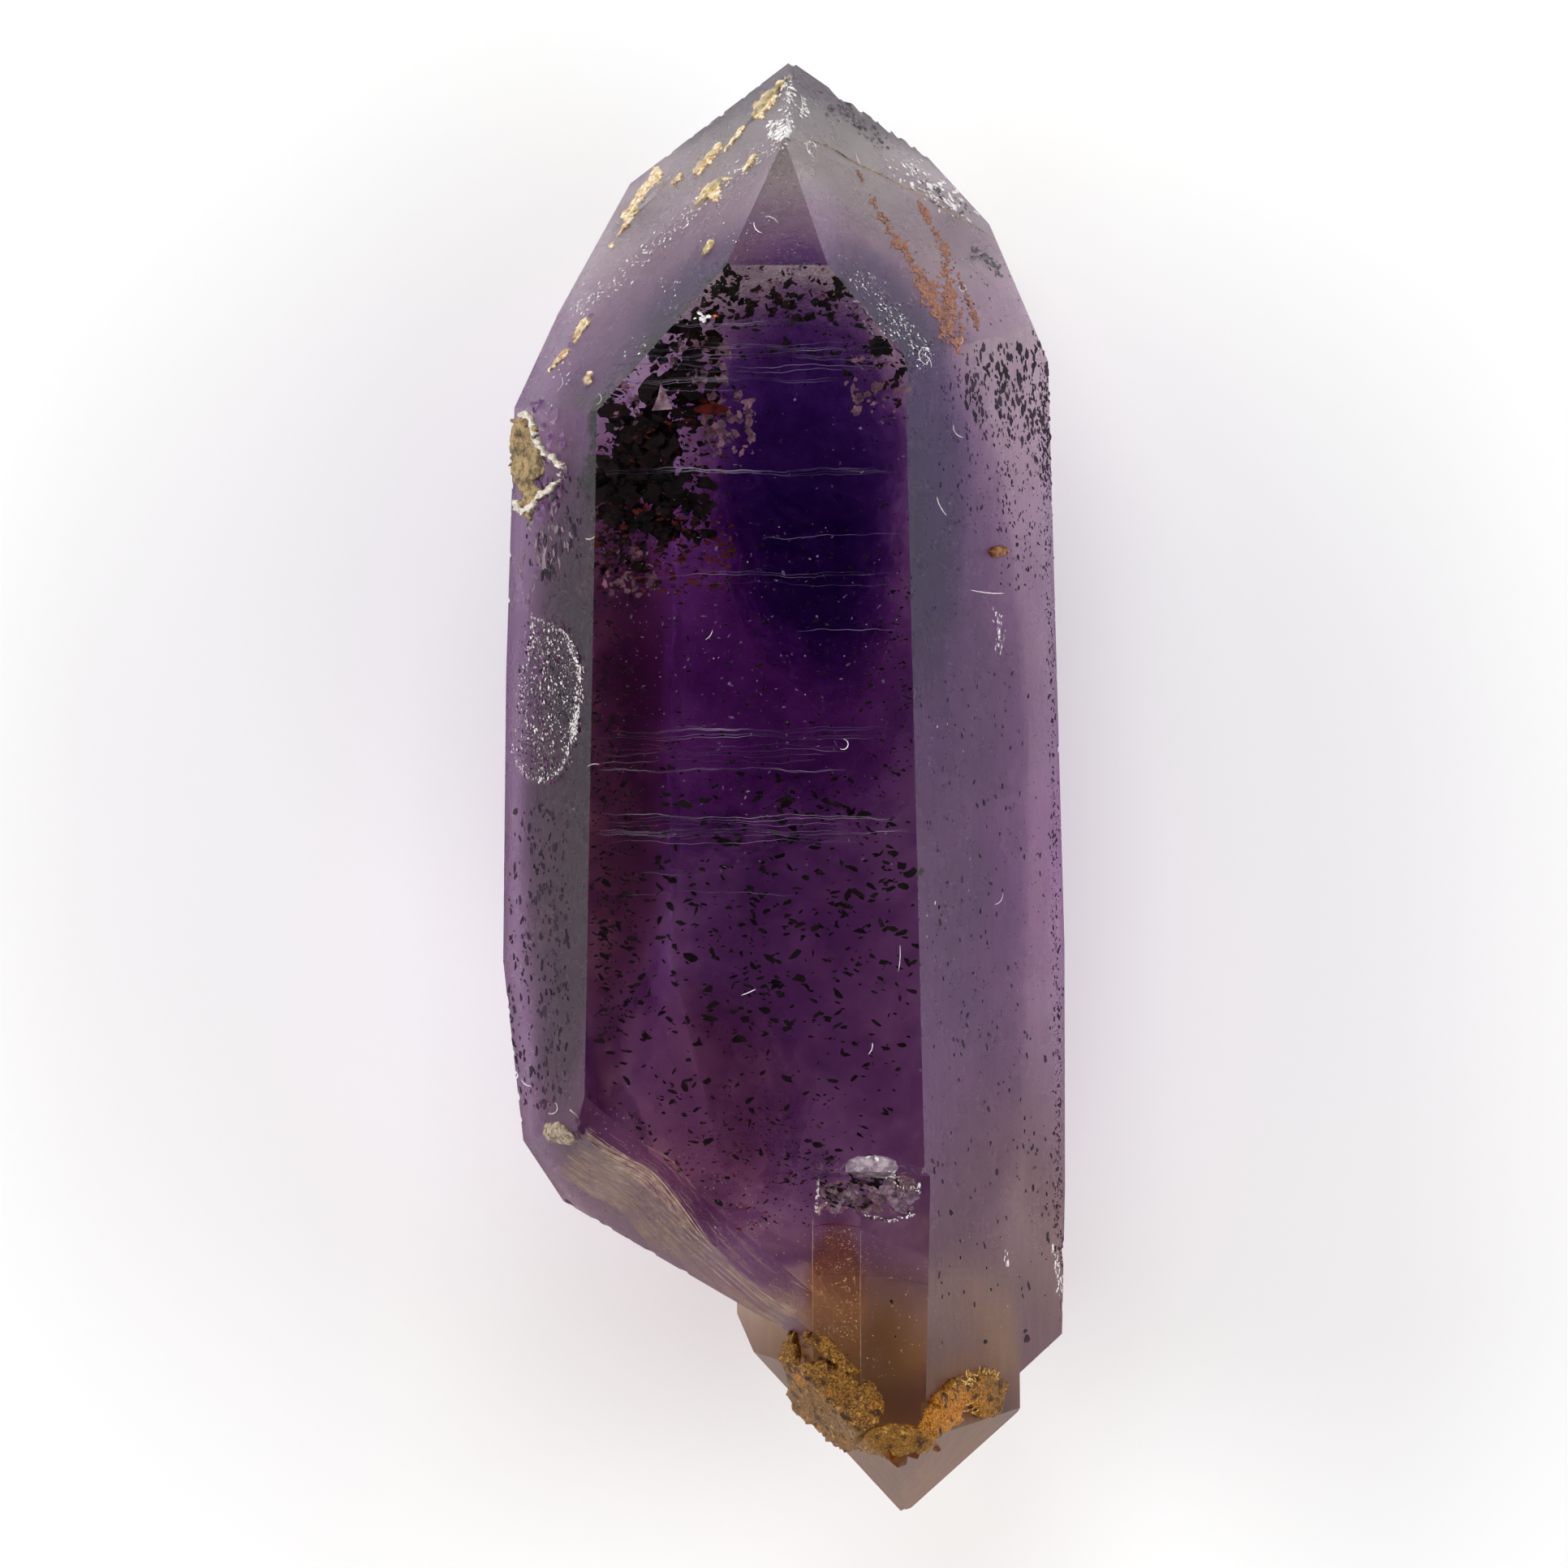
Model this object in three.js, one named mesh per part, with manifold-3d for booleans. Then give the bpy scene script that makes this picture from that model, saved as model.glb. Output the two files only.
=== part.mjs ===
// A double terminated amethyst point: a six sided quartz prism ended by rhombohedral faces, with a
// smaller crystal tip grown into its lower end. It lies on its rear prism face.
// +X is to the right, +Y runs along the crystal to its upper end, and +Z rises from the rest face
// to the broad front face. Lengths are in millimetres and angles in degrees.
import * as THREE from 'three';
import { mergeVertices } from 'three/addons/utils/BufferGeometryUtils.js';
import Module from 'manifold-3d';

// From the rest face to the broad front face.
const THICKNESS = 13.5;
const MIDDLE = THICKNESS / 2;

// Every flat face is given by the direction that it looks in and by its distance from the middle
// of the crystal. The turn goes round the length: 0 looks to the front, 90 to the right. The tip
// is how far the face looks towards the upper end. The reach is the distance.
const CRYSTAL_FACES = {
  front: { turn: 0, tip: 0, reach: MIDDLE },
  back: { turn: 180, tip: 0, reach: MIDDLE },
  right: { turn: 60, tip: 1.2, reach: 6.89 },
  rightLow: { turn: 60, tip: -1, reach: 7.372 },
  left: { turn: -60, tip: 0.9, reach: 8.57 },
  rightBack: { turn: 120, tip: 1.6, reach: 7.99 },
  rightBackLow: { turn: 120, tip: -1, reach: 8.22 },
  leftBack: { turn: -120, tip: 2.2, reach: 6.56 },
  leftBackMiddle: { turn: -120, tip: 0.1, reach: 6.44 },
  leftBackLow: { turn: -120, tip: -12, reach: 7.45 },
  topFront: { turn: 0, tip: 35.5, reach: 14.82 },
  topLeft: { turn: -58.9, tip: 37.2, reach: 13.71 },
  topRight: { turn: 55.3, tip: 34.4, reach: 13.16 },
  topLeftUpper: { turn: -64, tip: 40.9, reach: 14.41 },
  topRightUpper: { turn: 58.9, tip: 40.8, reach: 14.63 },
  topRear: { turn: 180, tip: 36.9, reach: 13.94 },
  shoulder: { turn: 90, tip: 23, reach: 12.71 },
  shoulderUpper: { turn: 90, tip: 42.5, reach: 16.51 },
  lowSlope: { turn: -54.2, tip: -43.3, reach: 13.84 },
  lowBevel: { turn: -14.7, tip: -16.4, reach: 10.49 },
  lowRear: { turn: -128.2, tip: -61.6, reach: 13.33 },
  lowRight: { turn: 114.7, tip: -61.2, reach: 18.96 },
};
const TIP_FACES = {
  front: { turn: 0, tip: 0, reach: 6.47 },
  frontNarrow: { turn: -11, tip: 0, reach: 5.9 },
  right: { turn: 60, tip: 0.3, reach: 6.81 },
  left: { turn: -60, tip: 0, reach: 2.32 },
  rightBack: { turn: 120, tip: 0.5, reach: 5.63 },
  leftBack: { turn: -120, tip: 0, reach: 0.21 },
  back: { turn: 180, tip: 0, reach: 3.45 },
  lowRight: { turn: 67.4, tip: -40.5, reach: 18.07 },
  lowLeft: { turn: -67.4, tip: -40.5, reach: 12.99 },
  lowRearLeft: { turn: -122.9, tip: -37.8, reach: 10.14 },
  lowRearRight: { turn: 139.7, tip: -47.5, reach: 17.06 },
  inside: { turn: 0, tip: 90, reach: -6 },
};

// The ledge where the broad front face stops and the smaller tip goes on, set back a little.
const LEDGE = { left: 0.88, right: 4.35, top: -12, lean: 24 };
const LEDGE_CHIPS = { count: 11, size: 0.42, above: 0.2, below: 0.12 };

// Flakes that stand up on the ledge: middle, half sizes and turn.
const LEDGE_FLAKES = [
  { x: 3.05, y: -12.75, z: 13.26, across: 1.05, along: 0.8, thick: 0.12, spin: 8 },
  { x: 2.7, y: -11.9, z: 13.34, across: 0.74, along: 0.34, thick: 0.26, spin: -4 },
  { x: 3.66, y: -12.4, z: 13.3, across: 0.52, along: 0.27, thick: 0.24, spin: -12 },
  { x: 1.75, y: -12.55, z: 13.1, across: 0.5, along: 0.3, thick: 0.2, spin: 20 },
  { x: 1.34, y: -13.2, z: 13.06, across: 0.3, along: 0.28, thick: 0.14, spin: 0 },
];

// Thin crusts that grew on the faces: middle, half sizes, thickness and turn in the front view.
const GOLD_FLAKES = [
  { x: -0.55, y: 21.2, across: 0.3, along: 0.95, thick: 0.16, spin: -38 },
  { x: -2.4, y: 19.35, across: 0.22, along: 0.62, thick: 0.15, spin: -36 },
  { x: -2.3, y: 18.35, across: 0.34, along: 0.72, thick: 0.17, spin: -44 },
  { x: -2.35, y: 16.6, across: 0.17, along: 0.32, thick: 0.13, spin: -30 },
  { x: -3.35, y: 18.75, across: 0.15, along: 0.3, thick: 0.12, spin: -40 },
  { x: -4.1, y: 18.4, across: 0.3, along: 1, thick: 0.15, spin: -36 },
  { x: -6.3, y: 14.1, across: 0.18, along: 0.6, thick: 0.13, spin: -33 },
  { x: -6.95, y: 13.2, across: 0.14, along: 0.36, thick: 0.12, spin: -35 },
  { x: -6.05, y: 12.5, across: 0.2, along: 0.24, thick: 0.14, spin: -20 },
];
const LEFT_CRUST = { x: -7.5, y: 10.15, across: 0.72, along: 1.72, pieces: 26, size: 0.24, thick: 0.2 };
const FROSTED_PATCH = { x: -7.2, y: 2.7, across: 0.95, along: 2.55, count: 24, size: 0.24, depth: 0.1 };
const FROSTED_RIM = { pieces: 20, size: 0.13, thick: 0.09 };
const OCHRE_CRUST = {
  path: [
    [0.32, -17.35],
    [0.72, -18.6],
    [1.5, -19.75],
    [2.45, -20.55],
    [3.5, -20.85],
    [4.35, -20.35],
    [5.1, -19.65],
    [5.8, -19.1],
    [6.5, -18.45],
  ],
  pieces: 48,
  spread: 0.42,
  thick: 0.28,
  size: 0.3,
};

// The parallel steps on the slanting lower face: they run down along it.
const SLOPE_STEPS = { x: -3.4, y: -13.3, above: 0.6, below: 0.7, count: 9, angle: -40.7 };
const SLOPE_STEP = { length: 9, radius: 0.14, sunk: 0.09 };

// Nicks along the edges: the two faces that meet, the stretch along the length, count and size.
const EDGE_NICKS = [
  { faces: ['topRightUpper', 'topRear'], from: 18.7, to: 21.7, count: 11, size: 0.36 },
  { faces: ['topLeftUpper', 'topRear'], from: 19.6, to: 22, count: 6, size: 0.2 },
  { faces: ['topLeftUpper', 'topRightUpper'], from: 20, to: 22.3, count: 7, size: 0.24 },
  { faces: ['front', 'topRight'], from: 13.3, to: 15.6, count: 6, size: 0.16 },
  { faces: ['front', 'topLeft'], from: 12.2, to: 15.6, count: 4, size: 0.12 },
  { faces: ['left', 'leftBackLow'], from: -11, to: -6, count: 6, size: 0.22 },
  { faces: ['left', 'leftBack'], from: 5, to: 11.4, count: 5, size: 0.16 },
  { faces: ['right', 'rightBack'], from: -4, to: 13, count: 5, size: 0.16 },
  { faces: ['right', 'rightBackLow'], from: -17, to: -14.2, count: 5, size: 0.34 },
  { faces: ['lowSlope', 'lowRear'], from: -15.2, to: -12.6, count: 7, size: 0.24 },
  { faces: ['front', 'right'], from: -11, to: 12, count: 4, size: 0.09 },
  { faces: ['front', 'left'], from: -9, to: 11, count: 4, size: 0.09 },
];
const FACE_PITS = [
  { x: 3.4, y: 14.7, across: 1.2, along: 1.4, count: 11, size: 0.17, depth: 0.05 },
  { x: -6.7, y: -10.7, across: 0.7, along: 0.4, count: 7, size: 0.2, depth: 0.07 },
];
const LEDGE_PITS = { x: 1.55, y: -12.9, across: 0.5, along: 0.4, count: 9, size: 0.2, depth: 0.1 };
const APEX_CHIPS = [
  { x: 0.35, y: 22.75, z: 6.3, size: 0.42 },
  { x: 0.1, y: 20.55, z: 11.05, size: 0.3 },
  { x: -0.25, y: 20.2, z: 11.1, size: 0.24 },
  { x: 3.45, y: -22.75, z: 9.3, size: 0.42 },
  { x: 4.55, y: -22.75, z: 9.2, size: 0.4 },
];

const COLOUR = 0x6a4a86;
const ROUGHNESS = 0.12;
const METALNESS = 0;
const BLOCK = 120;
const SEED = 20260;

// An even, repeatable stream of numbers from 0 to 1.
const STREAM_FACTOR = 1664525;
const STREAM_STEP = 1013904223;
const STREAM_RANGE = 4294967296;
function makeRandom(seed) {
  let state = seed;
  return () => {
    state = (state * STREAM_FACTOR + STREAM_STEP) % STREAM_RANGE;
    return state / STREAM_RANGE;
  };
}
const random = makeRandom(SEED);

function between(low, high) {
  return low + (high - low) * random();
}

function radians(degrees) {
  return THREE.MathUtils.degToRad(degrees);
}

const FORWARD = new THREE.Vector3(0, 0, 1);
const CENTRE = new THREE.Vector3(0, 0, MIDDLE);

function faceNormal({ turn, tip }) {
  return new THREE.Vector3(
    Math.sin(radians(turn)) * Math.cos(radians(tip)),
    Math.sin(radians(tip)),
    Math.cos(radians(turn)) * Math.cos(radians(tip)),
  );
}

function distanceFromOrigin(face) {
  return face.reach + faceNormal(face).dot(CENTRE);
}

// Solids.
const wasm = await Module();
wasm.setup();

function toSolid(geometry) {
  const bare = geometry.clone();
  bare.deleteAttribute('normal');
  bare.deleteAttribute('uv');
  const merged = mergeVertices(bare);
  return new wasm.Manifold(
    new wasm.Mesh({
      numProp: 3,
      vertProperties: new Float32Array(merged.attributes.position.array),
      triVerts: new Uint32Array(merged.index.array),
    }),
  );
}

// Everything that lies beyond one face.
function beyond(face) {
  const normal = faceNormal(face);
  const block = new THREE.BoxGeometry(BLOCK, BLOCK, BLOCK);
  block.applyQuaternion(new THREE.Quaternion().setFromUnitVectors(FORWARD, normal));
  const middle = CENTRE.clone().addScaledVector(normal, face.reach + BLOCK / 2);
  block.translate(middle.x, middle.y, middle.z);
  return toSolid(block);
}

function crystalOf(faces) {
  let body = toSolid(new THREE.BoxGeometry(BLOCK / 2, BLOCK / 2, BLOCK / 2));
  for (const face of Object.values(faces)) {
    body = body.subtract(beyond(face));
  }
  return body;
}

// A stone of flat facets with uneven corners, of the half sizes given by scale.
function roughStone({ at, scale, turnTo, spin = 0, uneven = 0.25, detail = 1 }) {
  const stone = new THREE.IcosahedronGeometry(1, detail);
  stone.deleteAttribute('normal');
  stone.deleteAttribute('uv');
  const merged = mergeVertices(stone);
  const corners = merged.attributes.position;
  const corner = new THREE.Vector3();
  for (let i = 0; i < corners.count; i += 1) {
    corner.fromBufferAttribute(corners, i).multiplyScalar(between(1 - uneven, 1 + uneven));
    corners.setXYZ(i, corner.x, corner.y, corner.z);
  }
  merged.scale(scale.x, scale.y, scale.z);
  merged.rotateZ(radians(spin));
  if (turnTo) {
    merged.applyQuaternion(new THREE.Quaternion().setFromUnitVectors(FORWARD, turnTo));
  }
  merged.translate(at.x, at.y, at.z);
  return toSolid(merged);
}

// The face seen at one place in the front view, and its height above the rest face there.
function heightOn(face, x, y) {
  const normal = faceNormal(face);
  return (distanceFromOrigin(face) - normal.x * x - normal.y * y) / normal.z;
}

function seenAt(faces, x, y) {
  let seen = null;
  for (const face of Object.values(faces)) {
    if (faceNormal(face).z > 0.05) {
      const height = heightOn(face, x, y);
      if (!seen || height < seen.height) {
        seen = { face, height };
      }
    }
  }
  return seen;
}

// The point where two faces meet, at a given place along the length.
function pointOnEdge(faceA, faceB, y) {
  const a = faceNormal(faceA);
  const b = faceNormal(faceB);
  const restA = distanceFromOrigin(faceA) - a.y * y;
  const restB = distanceFromOrigin(faceB) - b.y * y;
  const cross = a.x * b.z - b.x * a.z;
  return new THREE.Vector3(
    (restA * b.z - restB * a.z) / cross,
    y,
    (a.x * restB - b.x * restA) / cross,
  );
}

function stoneOnFace(faces, { x, y, across, along, thick, spin }, uneven, detail = 0) {
  const { face, height } = seenAt(faces, x, y);
  return roughStone({
    at: new THREE.Vector3(x, y, height),
    scale: new THREE.Vector3(across, along, thick),
    turnTo: faceNormal(face),
    spin,
    uneven,
    detail,
  });
}

// Grow the large crystal, cut its front back to the front faces of the tip below the ledge, and
// join the tip.
let body = crystalOf(CRYSTAL_FACES);
const aboveFloor = beyond(TIP_FACES.front).add(beyond(TIP_FACES.frontNarrow));
const rightSide = new THREE.BoxGeometry(BLOCK, BLOCK, BLOCK);
rightSide.translate(LEDGE.left + BLOCK / 2, 0, 0);
const belowWall = new THREE.BoxGeometry(BLOCK, BLOCK, BLOCK);
belowWall.translate(0, -BLOCK / 2, 0);
belowWall.rotateX(radians(-LEDGE.lean));
belowWall.translate(0, LEDGE.top, THICKNESS);
body = body.subtract(aboveFloor.intersect(toSolid(rightSide)).intersect(toSolid(belowWall)));
body = body.add(crystalOf(TIP_FACES));

// Steps along the slanting lower face.
const alongSlope = radians(SLOPE_STEPS.angle);
for (let i = 0; i < SLOPE_STEPS.count; i += 1) {
  const length = SLOPE_STEP.length * between(0.45, 0.9);
  const bar = new THREE.CylinderGeometry(SLOPE_STEP.radius, SLOPE_STEP.radius * 0.4, length, 3);
  bar.rotateZ(alongSlope - Math.PI / 2);
  const down = -SLOPE_STEPS.above + (SLOPE_STEPS.above + SLOPE_STEPS.below) * (i / SLOPE_STEPS.count);
  const slide = between(-1, 1);
  const x = SLOPE_STEPS.x + Math.sin(alongSlope) * down + Math.cos(alongSlope) * slide;
  const y = SLOPE_STEPS.y - Math.cos(alongSlope) * down + Math.sin(alongSlope) * slide;
  bar.translate(x, y, seenAt(CRYSTAL_FACES, x, y).height - SLOPE_STEP.sunk);
  body = body.add(toSolid(bar));
}

// Pits in one patch of the faces.
function pitted(solid, faces, { x, y, across, along, count, size, depth }) {
  let pittedSolid = solid;
  for (let i = 0; i < count; i += 1) {
    const angle = between(0, 2 * Math.PI);
    const ring = Math.sqrt(random());
    const pitX = x + Math.cos(angle) * across * ring;
    const pitY = y + Math.sin(angle) * along * ring;
    const { face, height } = seenAt(faces, pitX, pitY);
    const pit = size * between(0.4, 1);
    const at = new THREE.Vector3(pitX, pitY, height);
    const scale = new THREE.Vector3(pit, pit * between(0.8, 1.6), depth);
    const turnTo = faceNormal(face);
    const spin = between(0, 90);
    pittedSolid = pittedSolid.subtract(roughStone({ at, scale, turnTo, spin, detail: 0 }));
  }
  return pittedSolid;
}
body = pitted(body, TIP_FACES, LEDGE_PITS);
for (let i = 0; i < LEDGE_CHIPS.count; i += 1) {
  const place = (i + between(0.2, 0.8)) / LEDGE_CHIPS.count;
  const x = LEDGE.left + (LEDGE.right - LEDGE.left) * place;
  const y = LEDGE.top + between(-LEDGE_CHIPS.below, LEDGE_CHIPS.above);
  const chip = LEDGE_CHIPS.size * between(0.5, 1);
  const scale = new THREE.Vector3(chip, chip * between(0.7, 1.2), chip * 0.8);
  const at = new THREE.Vector3(x, y, THICKNESS);
  body = body.subtract(roughStone({ at, scale, spin: between(0, 90), detail: 0 }));
}

// Nicks, pits and broken corners.
for (const { faces, from, to, count, size } of EDGE_NICKS) {
  for (let i = 0; i < count; i += 1) {
    const y = from + (to - from) * ((i + between(0.1, 0.9)) / count);
    const at = pointOnEdge(CRYSTAL_FACES[faces[0]], CRYSTAL_FACES[faces[1]], y);
    const nick = size * between(0.4, 1);
    at.add(new THREE.Vector3(between(-0.2, 0.2), 0, between(-0.2, 0.2)).multiplyScalar(nick));
    const scale = new THREE.Vector3(nick * 0.7, nick * between(1, 1.8), nick * 0.7);
    const spin = between(0, 90);
    body = body.subtract(roughStone({ at, scale, spin, uneven: 0.3, detail: 0 }));
  }
}
for (const patch of FACE_PITS) {
  body = pitted(body, CRYSTAL_FACES, patch);
}
body = pitted(body, CRYSTAL_FACES, FROSTED_PATCH);
for (const { x, y, z, size } of APEX_CHIPS) {
  const at = new THREE.Vector3(x, y, z);
  const scale = new THREE.Vector3(size, size * 0.9, size * 1.6);
  body = body.subtract(roughStone({ at, scale, spin: 20, uneven: 0.2 }));
}

// Raised crusts and flakes.
for (const flake of GOLD_FLAKES) {
  body = body.add(stoneOnFace(CRYSTAL_FACES, flake, 0.22, 1));
}
for (const flake of LEDGE_FLAKES) {
  const at = new THREE.Vector3(flake.x, flake.y, flake.z);
  const scale = new THREE.Vector3(flake.across, flake.along, flake.thick);
  body = body.add(roughStone({ at, scale, spin: flake.spin, uneven: 0.12 }));
}
for (let i = 0; i < LEFT_CRUST.pieces; i += 1) {
  const angle = 2 * Math.PI * (i / LEFT_CRUST.pieces);
  const ring = i % 3 === 0 ? between(0.1, 0.7) : between(0.86, 1.05);
  const x = LEFT_CRUST.x + Math.cos(angle) * LEFT_CRUST.across * ring;
  const y = LEFT_CRUST.y + Math.sin(angle) * LEFT_CRUST.along * ring;
  const across = LEFT_CRUST.size * between(0.6, 1);
  const thick = LEFT_CRUST.thick * between(0.5, 1);
  const lump = { x, y, across, along: across * between(1, 1.7), thick };
  body = body.add(stoneOnFace(CRYSTAL_FACES, { ...lump, spin: between(-60, 60) }, 0.25));
}
for (let i = 0; i < FROSTED_RIM.pieces; i += 1) {
  const angle = 2 * Math.PI * (i / FROSTED_RIM.pieces);
  const x = FROSTED_PATCH.x + Math.cos(angle) * FROSTED_PATCH.across * between(0.93, 1.05);
  const y = FROSTED_PATCH.y + Math.sin(angle) * FROSTED_PATCH.along * between(0.93, 1.05);
  const across = FROSTED_RIM.size * between(0.55, 1);
  const thick = FROSTED_RIM.thick * between(0.55, 1);
  const lump = { x, y, across, along: across * between(1, 2), thick };
  body = body.add(stoneOnFace(CRYSTAL_FACES, { ...lump, spin: between(-60, 60) }, 0.25));
}
const crustPath = OCHRE_CRUST.path;
for (let i = 0; i < OCHRE_CRUST.pieces; i += 1) {
  const place = (i / OCHRE_CRUST.pieces) * (crustPath.length - 1);
  const stretch = Math.floor(place);
  const part = place - stretch;
  const [startX, startY] = crustPath[stretch];
  const [endX, endY] = crustPath[stretch + 1];
  const x = startX + (endX - startX) * part + between(-1, 1) * OCHRE_CRUST.spread;
  const y = startY + (endY - startY) * part + between(-0.6, 1) * OCHRE_CRUST.spread;
  const across = OCHRE_CRUST.size * between(0.5, 1.1);
  const thick = OCHRE_CRUST.thick * between(0.5, 1);
  const lump = { x, y, across, along: across * between(0.7, 1.4), thick };
  body = body.add(stoneOnFace(TIP_FACES, { ...lump, spin: between(-80, 80) }, 0.3));
}

// Nothing reaches below the rest face.
body = body.subtract(beyond(CRYSTAL_FACES.back));

const made = body.getMesh();
const geometry = new THREE.BufferGeometry();
geometry.setAttribute('position', new THREE.BufferAttribute(made.vertProperties, made.numProp));
geometry.setIndex(new THREE.BufferAttribute(made.triVerts, 1));
const faceted = geometry.toNonIndexed();
faceted.computeVertexNormals();

const material = new THREE.MeshStandardMaterial({
  color: COLOUR,
  roughness: ROUGHNESS,
  metalness: METALNESS,
});
const amethystPoint = new THREE.Mesh(faceted, material);
amethystPoint.name = 'amethyst_point';

const group = new THREE.Group();
group.add(amethystPoint);

export default group;
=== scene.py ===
# A double terminated amethyst point, lying on its rear prism face, seen from straight above.
import bpy
import numpy as np
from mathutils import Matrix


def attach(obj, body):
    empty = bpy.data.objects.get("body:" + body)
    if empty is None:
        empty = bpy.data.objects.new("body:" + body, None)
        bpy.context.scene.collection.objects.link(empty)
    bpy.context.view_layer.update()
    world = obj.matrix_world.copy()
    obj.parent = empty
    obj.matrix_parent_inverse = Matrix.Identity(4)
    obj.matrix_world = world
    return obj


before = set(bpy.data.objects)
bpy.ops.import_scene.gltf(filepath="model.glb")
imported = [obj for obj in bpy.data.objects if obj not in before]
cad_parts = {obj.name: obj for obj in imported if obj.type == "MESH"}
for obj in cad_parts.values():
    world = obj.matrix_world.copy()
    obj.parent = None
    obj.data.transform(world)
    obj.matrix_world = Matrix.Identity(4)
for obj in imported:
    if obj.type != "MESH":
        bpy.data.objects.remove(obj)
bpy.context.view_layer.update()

scene = bpy.context.scene
MM = 0.001

# The camera looks straight down on the broad front face, through a long lens, so that the sides of
# the crystal run almost parallel to the line of sight. The picture is 48.7 mm wide at mid height.
PICTURE_WIDTH = 48.7 * MM
PICTURE_ABOVE_FLOOR = 9 * MM
LENS = 900.0
SENSOR = 36.0
camera_data = bpy.data.cameras.new("camera")
camera_data.lens = LENS
camera_data.sensor_width = SENSOR
camera_data.clip_start = 0.01
camera = bpy.data.objects.new("camera", camera_data)
camera.location = (0, 0, PICTURE_ABOVE_FLOOR + PICTURE_WIDTH * LENS / SENSOR)
scene.collection.objects.link(camera)
scene.camera = camera
scene.view_settings.view_transform = "Standard"

# Light crosses many faces and colour zones on its way through the crystal.
scene.cycles.max_bounces = 8
scene.cycles.transmission_bounces = 8
scene.cycles.transparent_max_bounces = 48
scene.cycles.sample_clamp_indirect = 5.0

# Soft studio light: soft boxes low on each side, in a room that is pale round the table and
# dark overhead, so that the front face mirrors the dark and the slanting faces the pale floor.
ROOM_COLOUR = (1.0, 1.0, 1.0, 1.0)
ROOM_STRENGTH_LOW = 0.55
ROOM_STRENGTH_OVERHEAD = 0.03
ROOM_DARK_ABOVE = (0.3, 0.75)
SOFT_BOXES = {
    "left": {"at": (-0.30, 0.06, 0.17), "size": (0.34, 0.16), "watts": 1.0},
    "right": {"at": (0.30, 0.02, 0.17), "size": (0.34, 0.16), "watts": 0.85},
    "upper": {"at": (-0.05, 0.25, 0.29), "size": (0.30, 0.14), "watts": 0.65},
    "lower": {"at": (0.06, -0.32, 0.18), "size": (0.30, 0.14), "watts": 0.5},
}


def plugged(tree, node, given):
    """Sets each given value on the node's input of that name or number; a socket is linked."""
    for key, value in given.items():
        if isinstance(value, bpy.types.NodeSocket):
            tree.links.new(value, node.inputs[key])
        else:
            node.inputs[key].default_value = value


def added(tree, kind, output, given, **settings):
    """The output of a new node of that kind, with its inputs and settings."""
    node = tree.nodes.new("ShaderNode" + kind)
    for name, value in settings.items():
        setattr(node, name, value)
    plugged(tree, node, given)
    return node.outputs[output]


def soft_step(tree, value, low, high, least=0.0, most=1.0):
    """From the least to the most along 3 t^2 - 2 t^3, as the value goes from low to high."""
    return added(tree, "MapRange", "Result", {
        "Value": value, "From Min": low, "From Max": high, "To Min": least, "To Max": most},
        interpolation_type="SMOOTHSTEP")


def new_material(name):
    """A new material, its node tree and its Principled shader."""
    material = bpy.data.materials.new(name)
    material.use_nodes = True
    return material, material.node_tree, material.node_tree.nodes["Principled BSDF"]


world = bpy.data.worlds.new("room")
world.use_nodes = True
room = world.node_tree
height = added(room, "SeparateXYZ", "Z", {"Vector": added(room, "TexCoord", "Generated", {})})
brightness = soft_step(room, height, *ROOM_DARK_ABOVE, ROOM_STRENGTH_LOW, ROOM_STRENGTH_OVERHEAD)
plugged(room, room.nodes["Background"], {"Color": ROOM_COLOUR, "Strength": brightness})
scene.world = world
for side, box in SOFT_BOXES.items():
    lamp_data = bpy.data.lights.new("soft_box_" + side, "AREA")
    lamp_data.shape = "RECTANGLE"
    lamp_data.size, lamp_data.size_y = box["size"]
    lamp_data.energy = box["watts"]
    lamp = bpy.data.objects.new("soft_box_" + side, lamp_data)
    lamp.location = box["at"]
    aim = -lamp.location.normalized()
    lamp.rotation_euler = aim.to_track_quat("-Z", "Y").to_euler()
    scene.collection.objects.link(lamp)

# The floor is one sheet of pale card. A hair's breadth parts it from the crystal's rest face.
FLOOR_HALF = 1.5
FLOOR_BELOW = 0.05 * MM
CARD_COLOUR = (0.88, 0.88, 0.88, 1)
floor_mesh = bpy.data.meshes.new("floor")
floor_mesh.from_pydata([(x * FLOOR_HALF, y * FLOOR_HALF, -FLOOR_BELOW)
                        for x, y in ((-1, -1), (1, -1), (1, 1), (-1, 1))], [], [(0, 1, 2, 3)])
floor = bpy.data.objects.new("floor", floor_mesh)
scene.collection.objects.link(floor)
pale_card, tree, shader = new_material("pale_card")
plugged(tree, shader, {"Base Color": CARD_COLOUR, "Roughness": 0.9})
floor.data.materials.append(pale_card)

# The crystal: clear quartz that iron has coloured violet. It grew as one piece, with flat natural
# faces. It is rosy grey at the upper end, tan where iron oxide stains the lower end, and the faces
# that it lies on are etched and a little dull.
STRAIGHT_UP = 0.999
CLEAR = (1.0, 1.0, 1.0)


def noise_field(tree, place, size, detail=4, roughness=0.55, low=0.35, high=0.65):
    """A cloudy value from 0 to 1 whose clouds are about the given size in millimetres."""
    noise = added(tree, "TexNoise", "Fac", {
        "Vector": place, "Scale": 1 / (size * MM), "Detail": detail, "Roughness": roughness})
    return soft_step(tree, noise, low, high)


def object_place(tree):
    """The place on the object, in metres."""
    return added(tree, "TexCoord", "Object", {})


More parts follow.
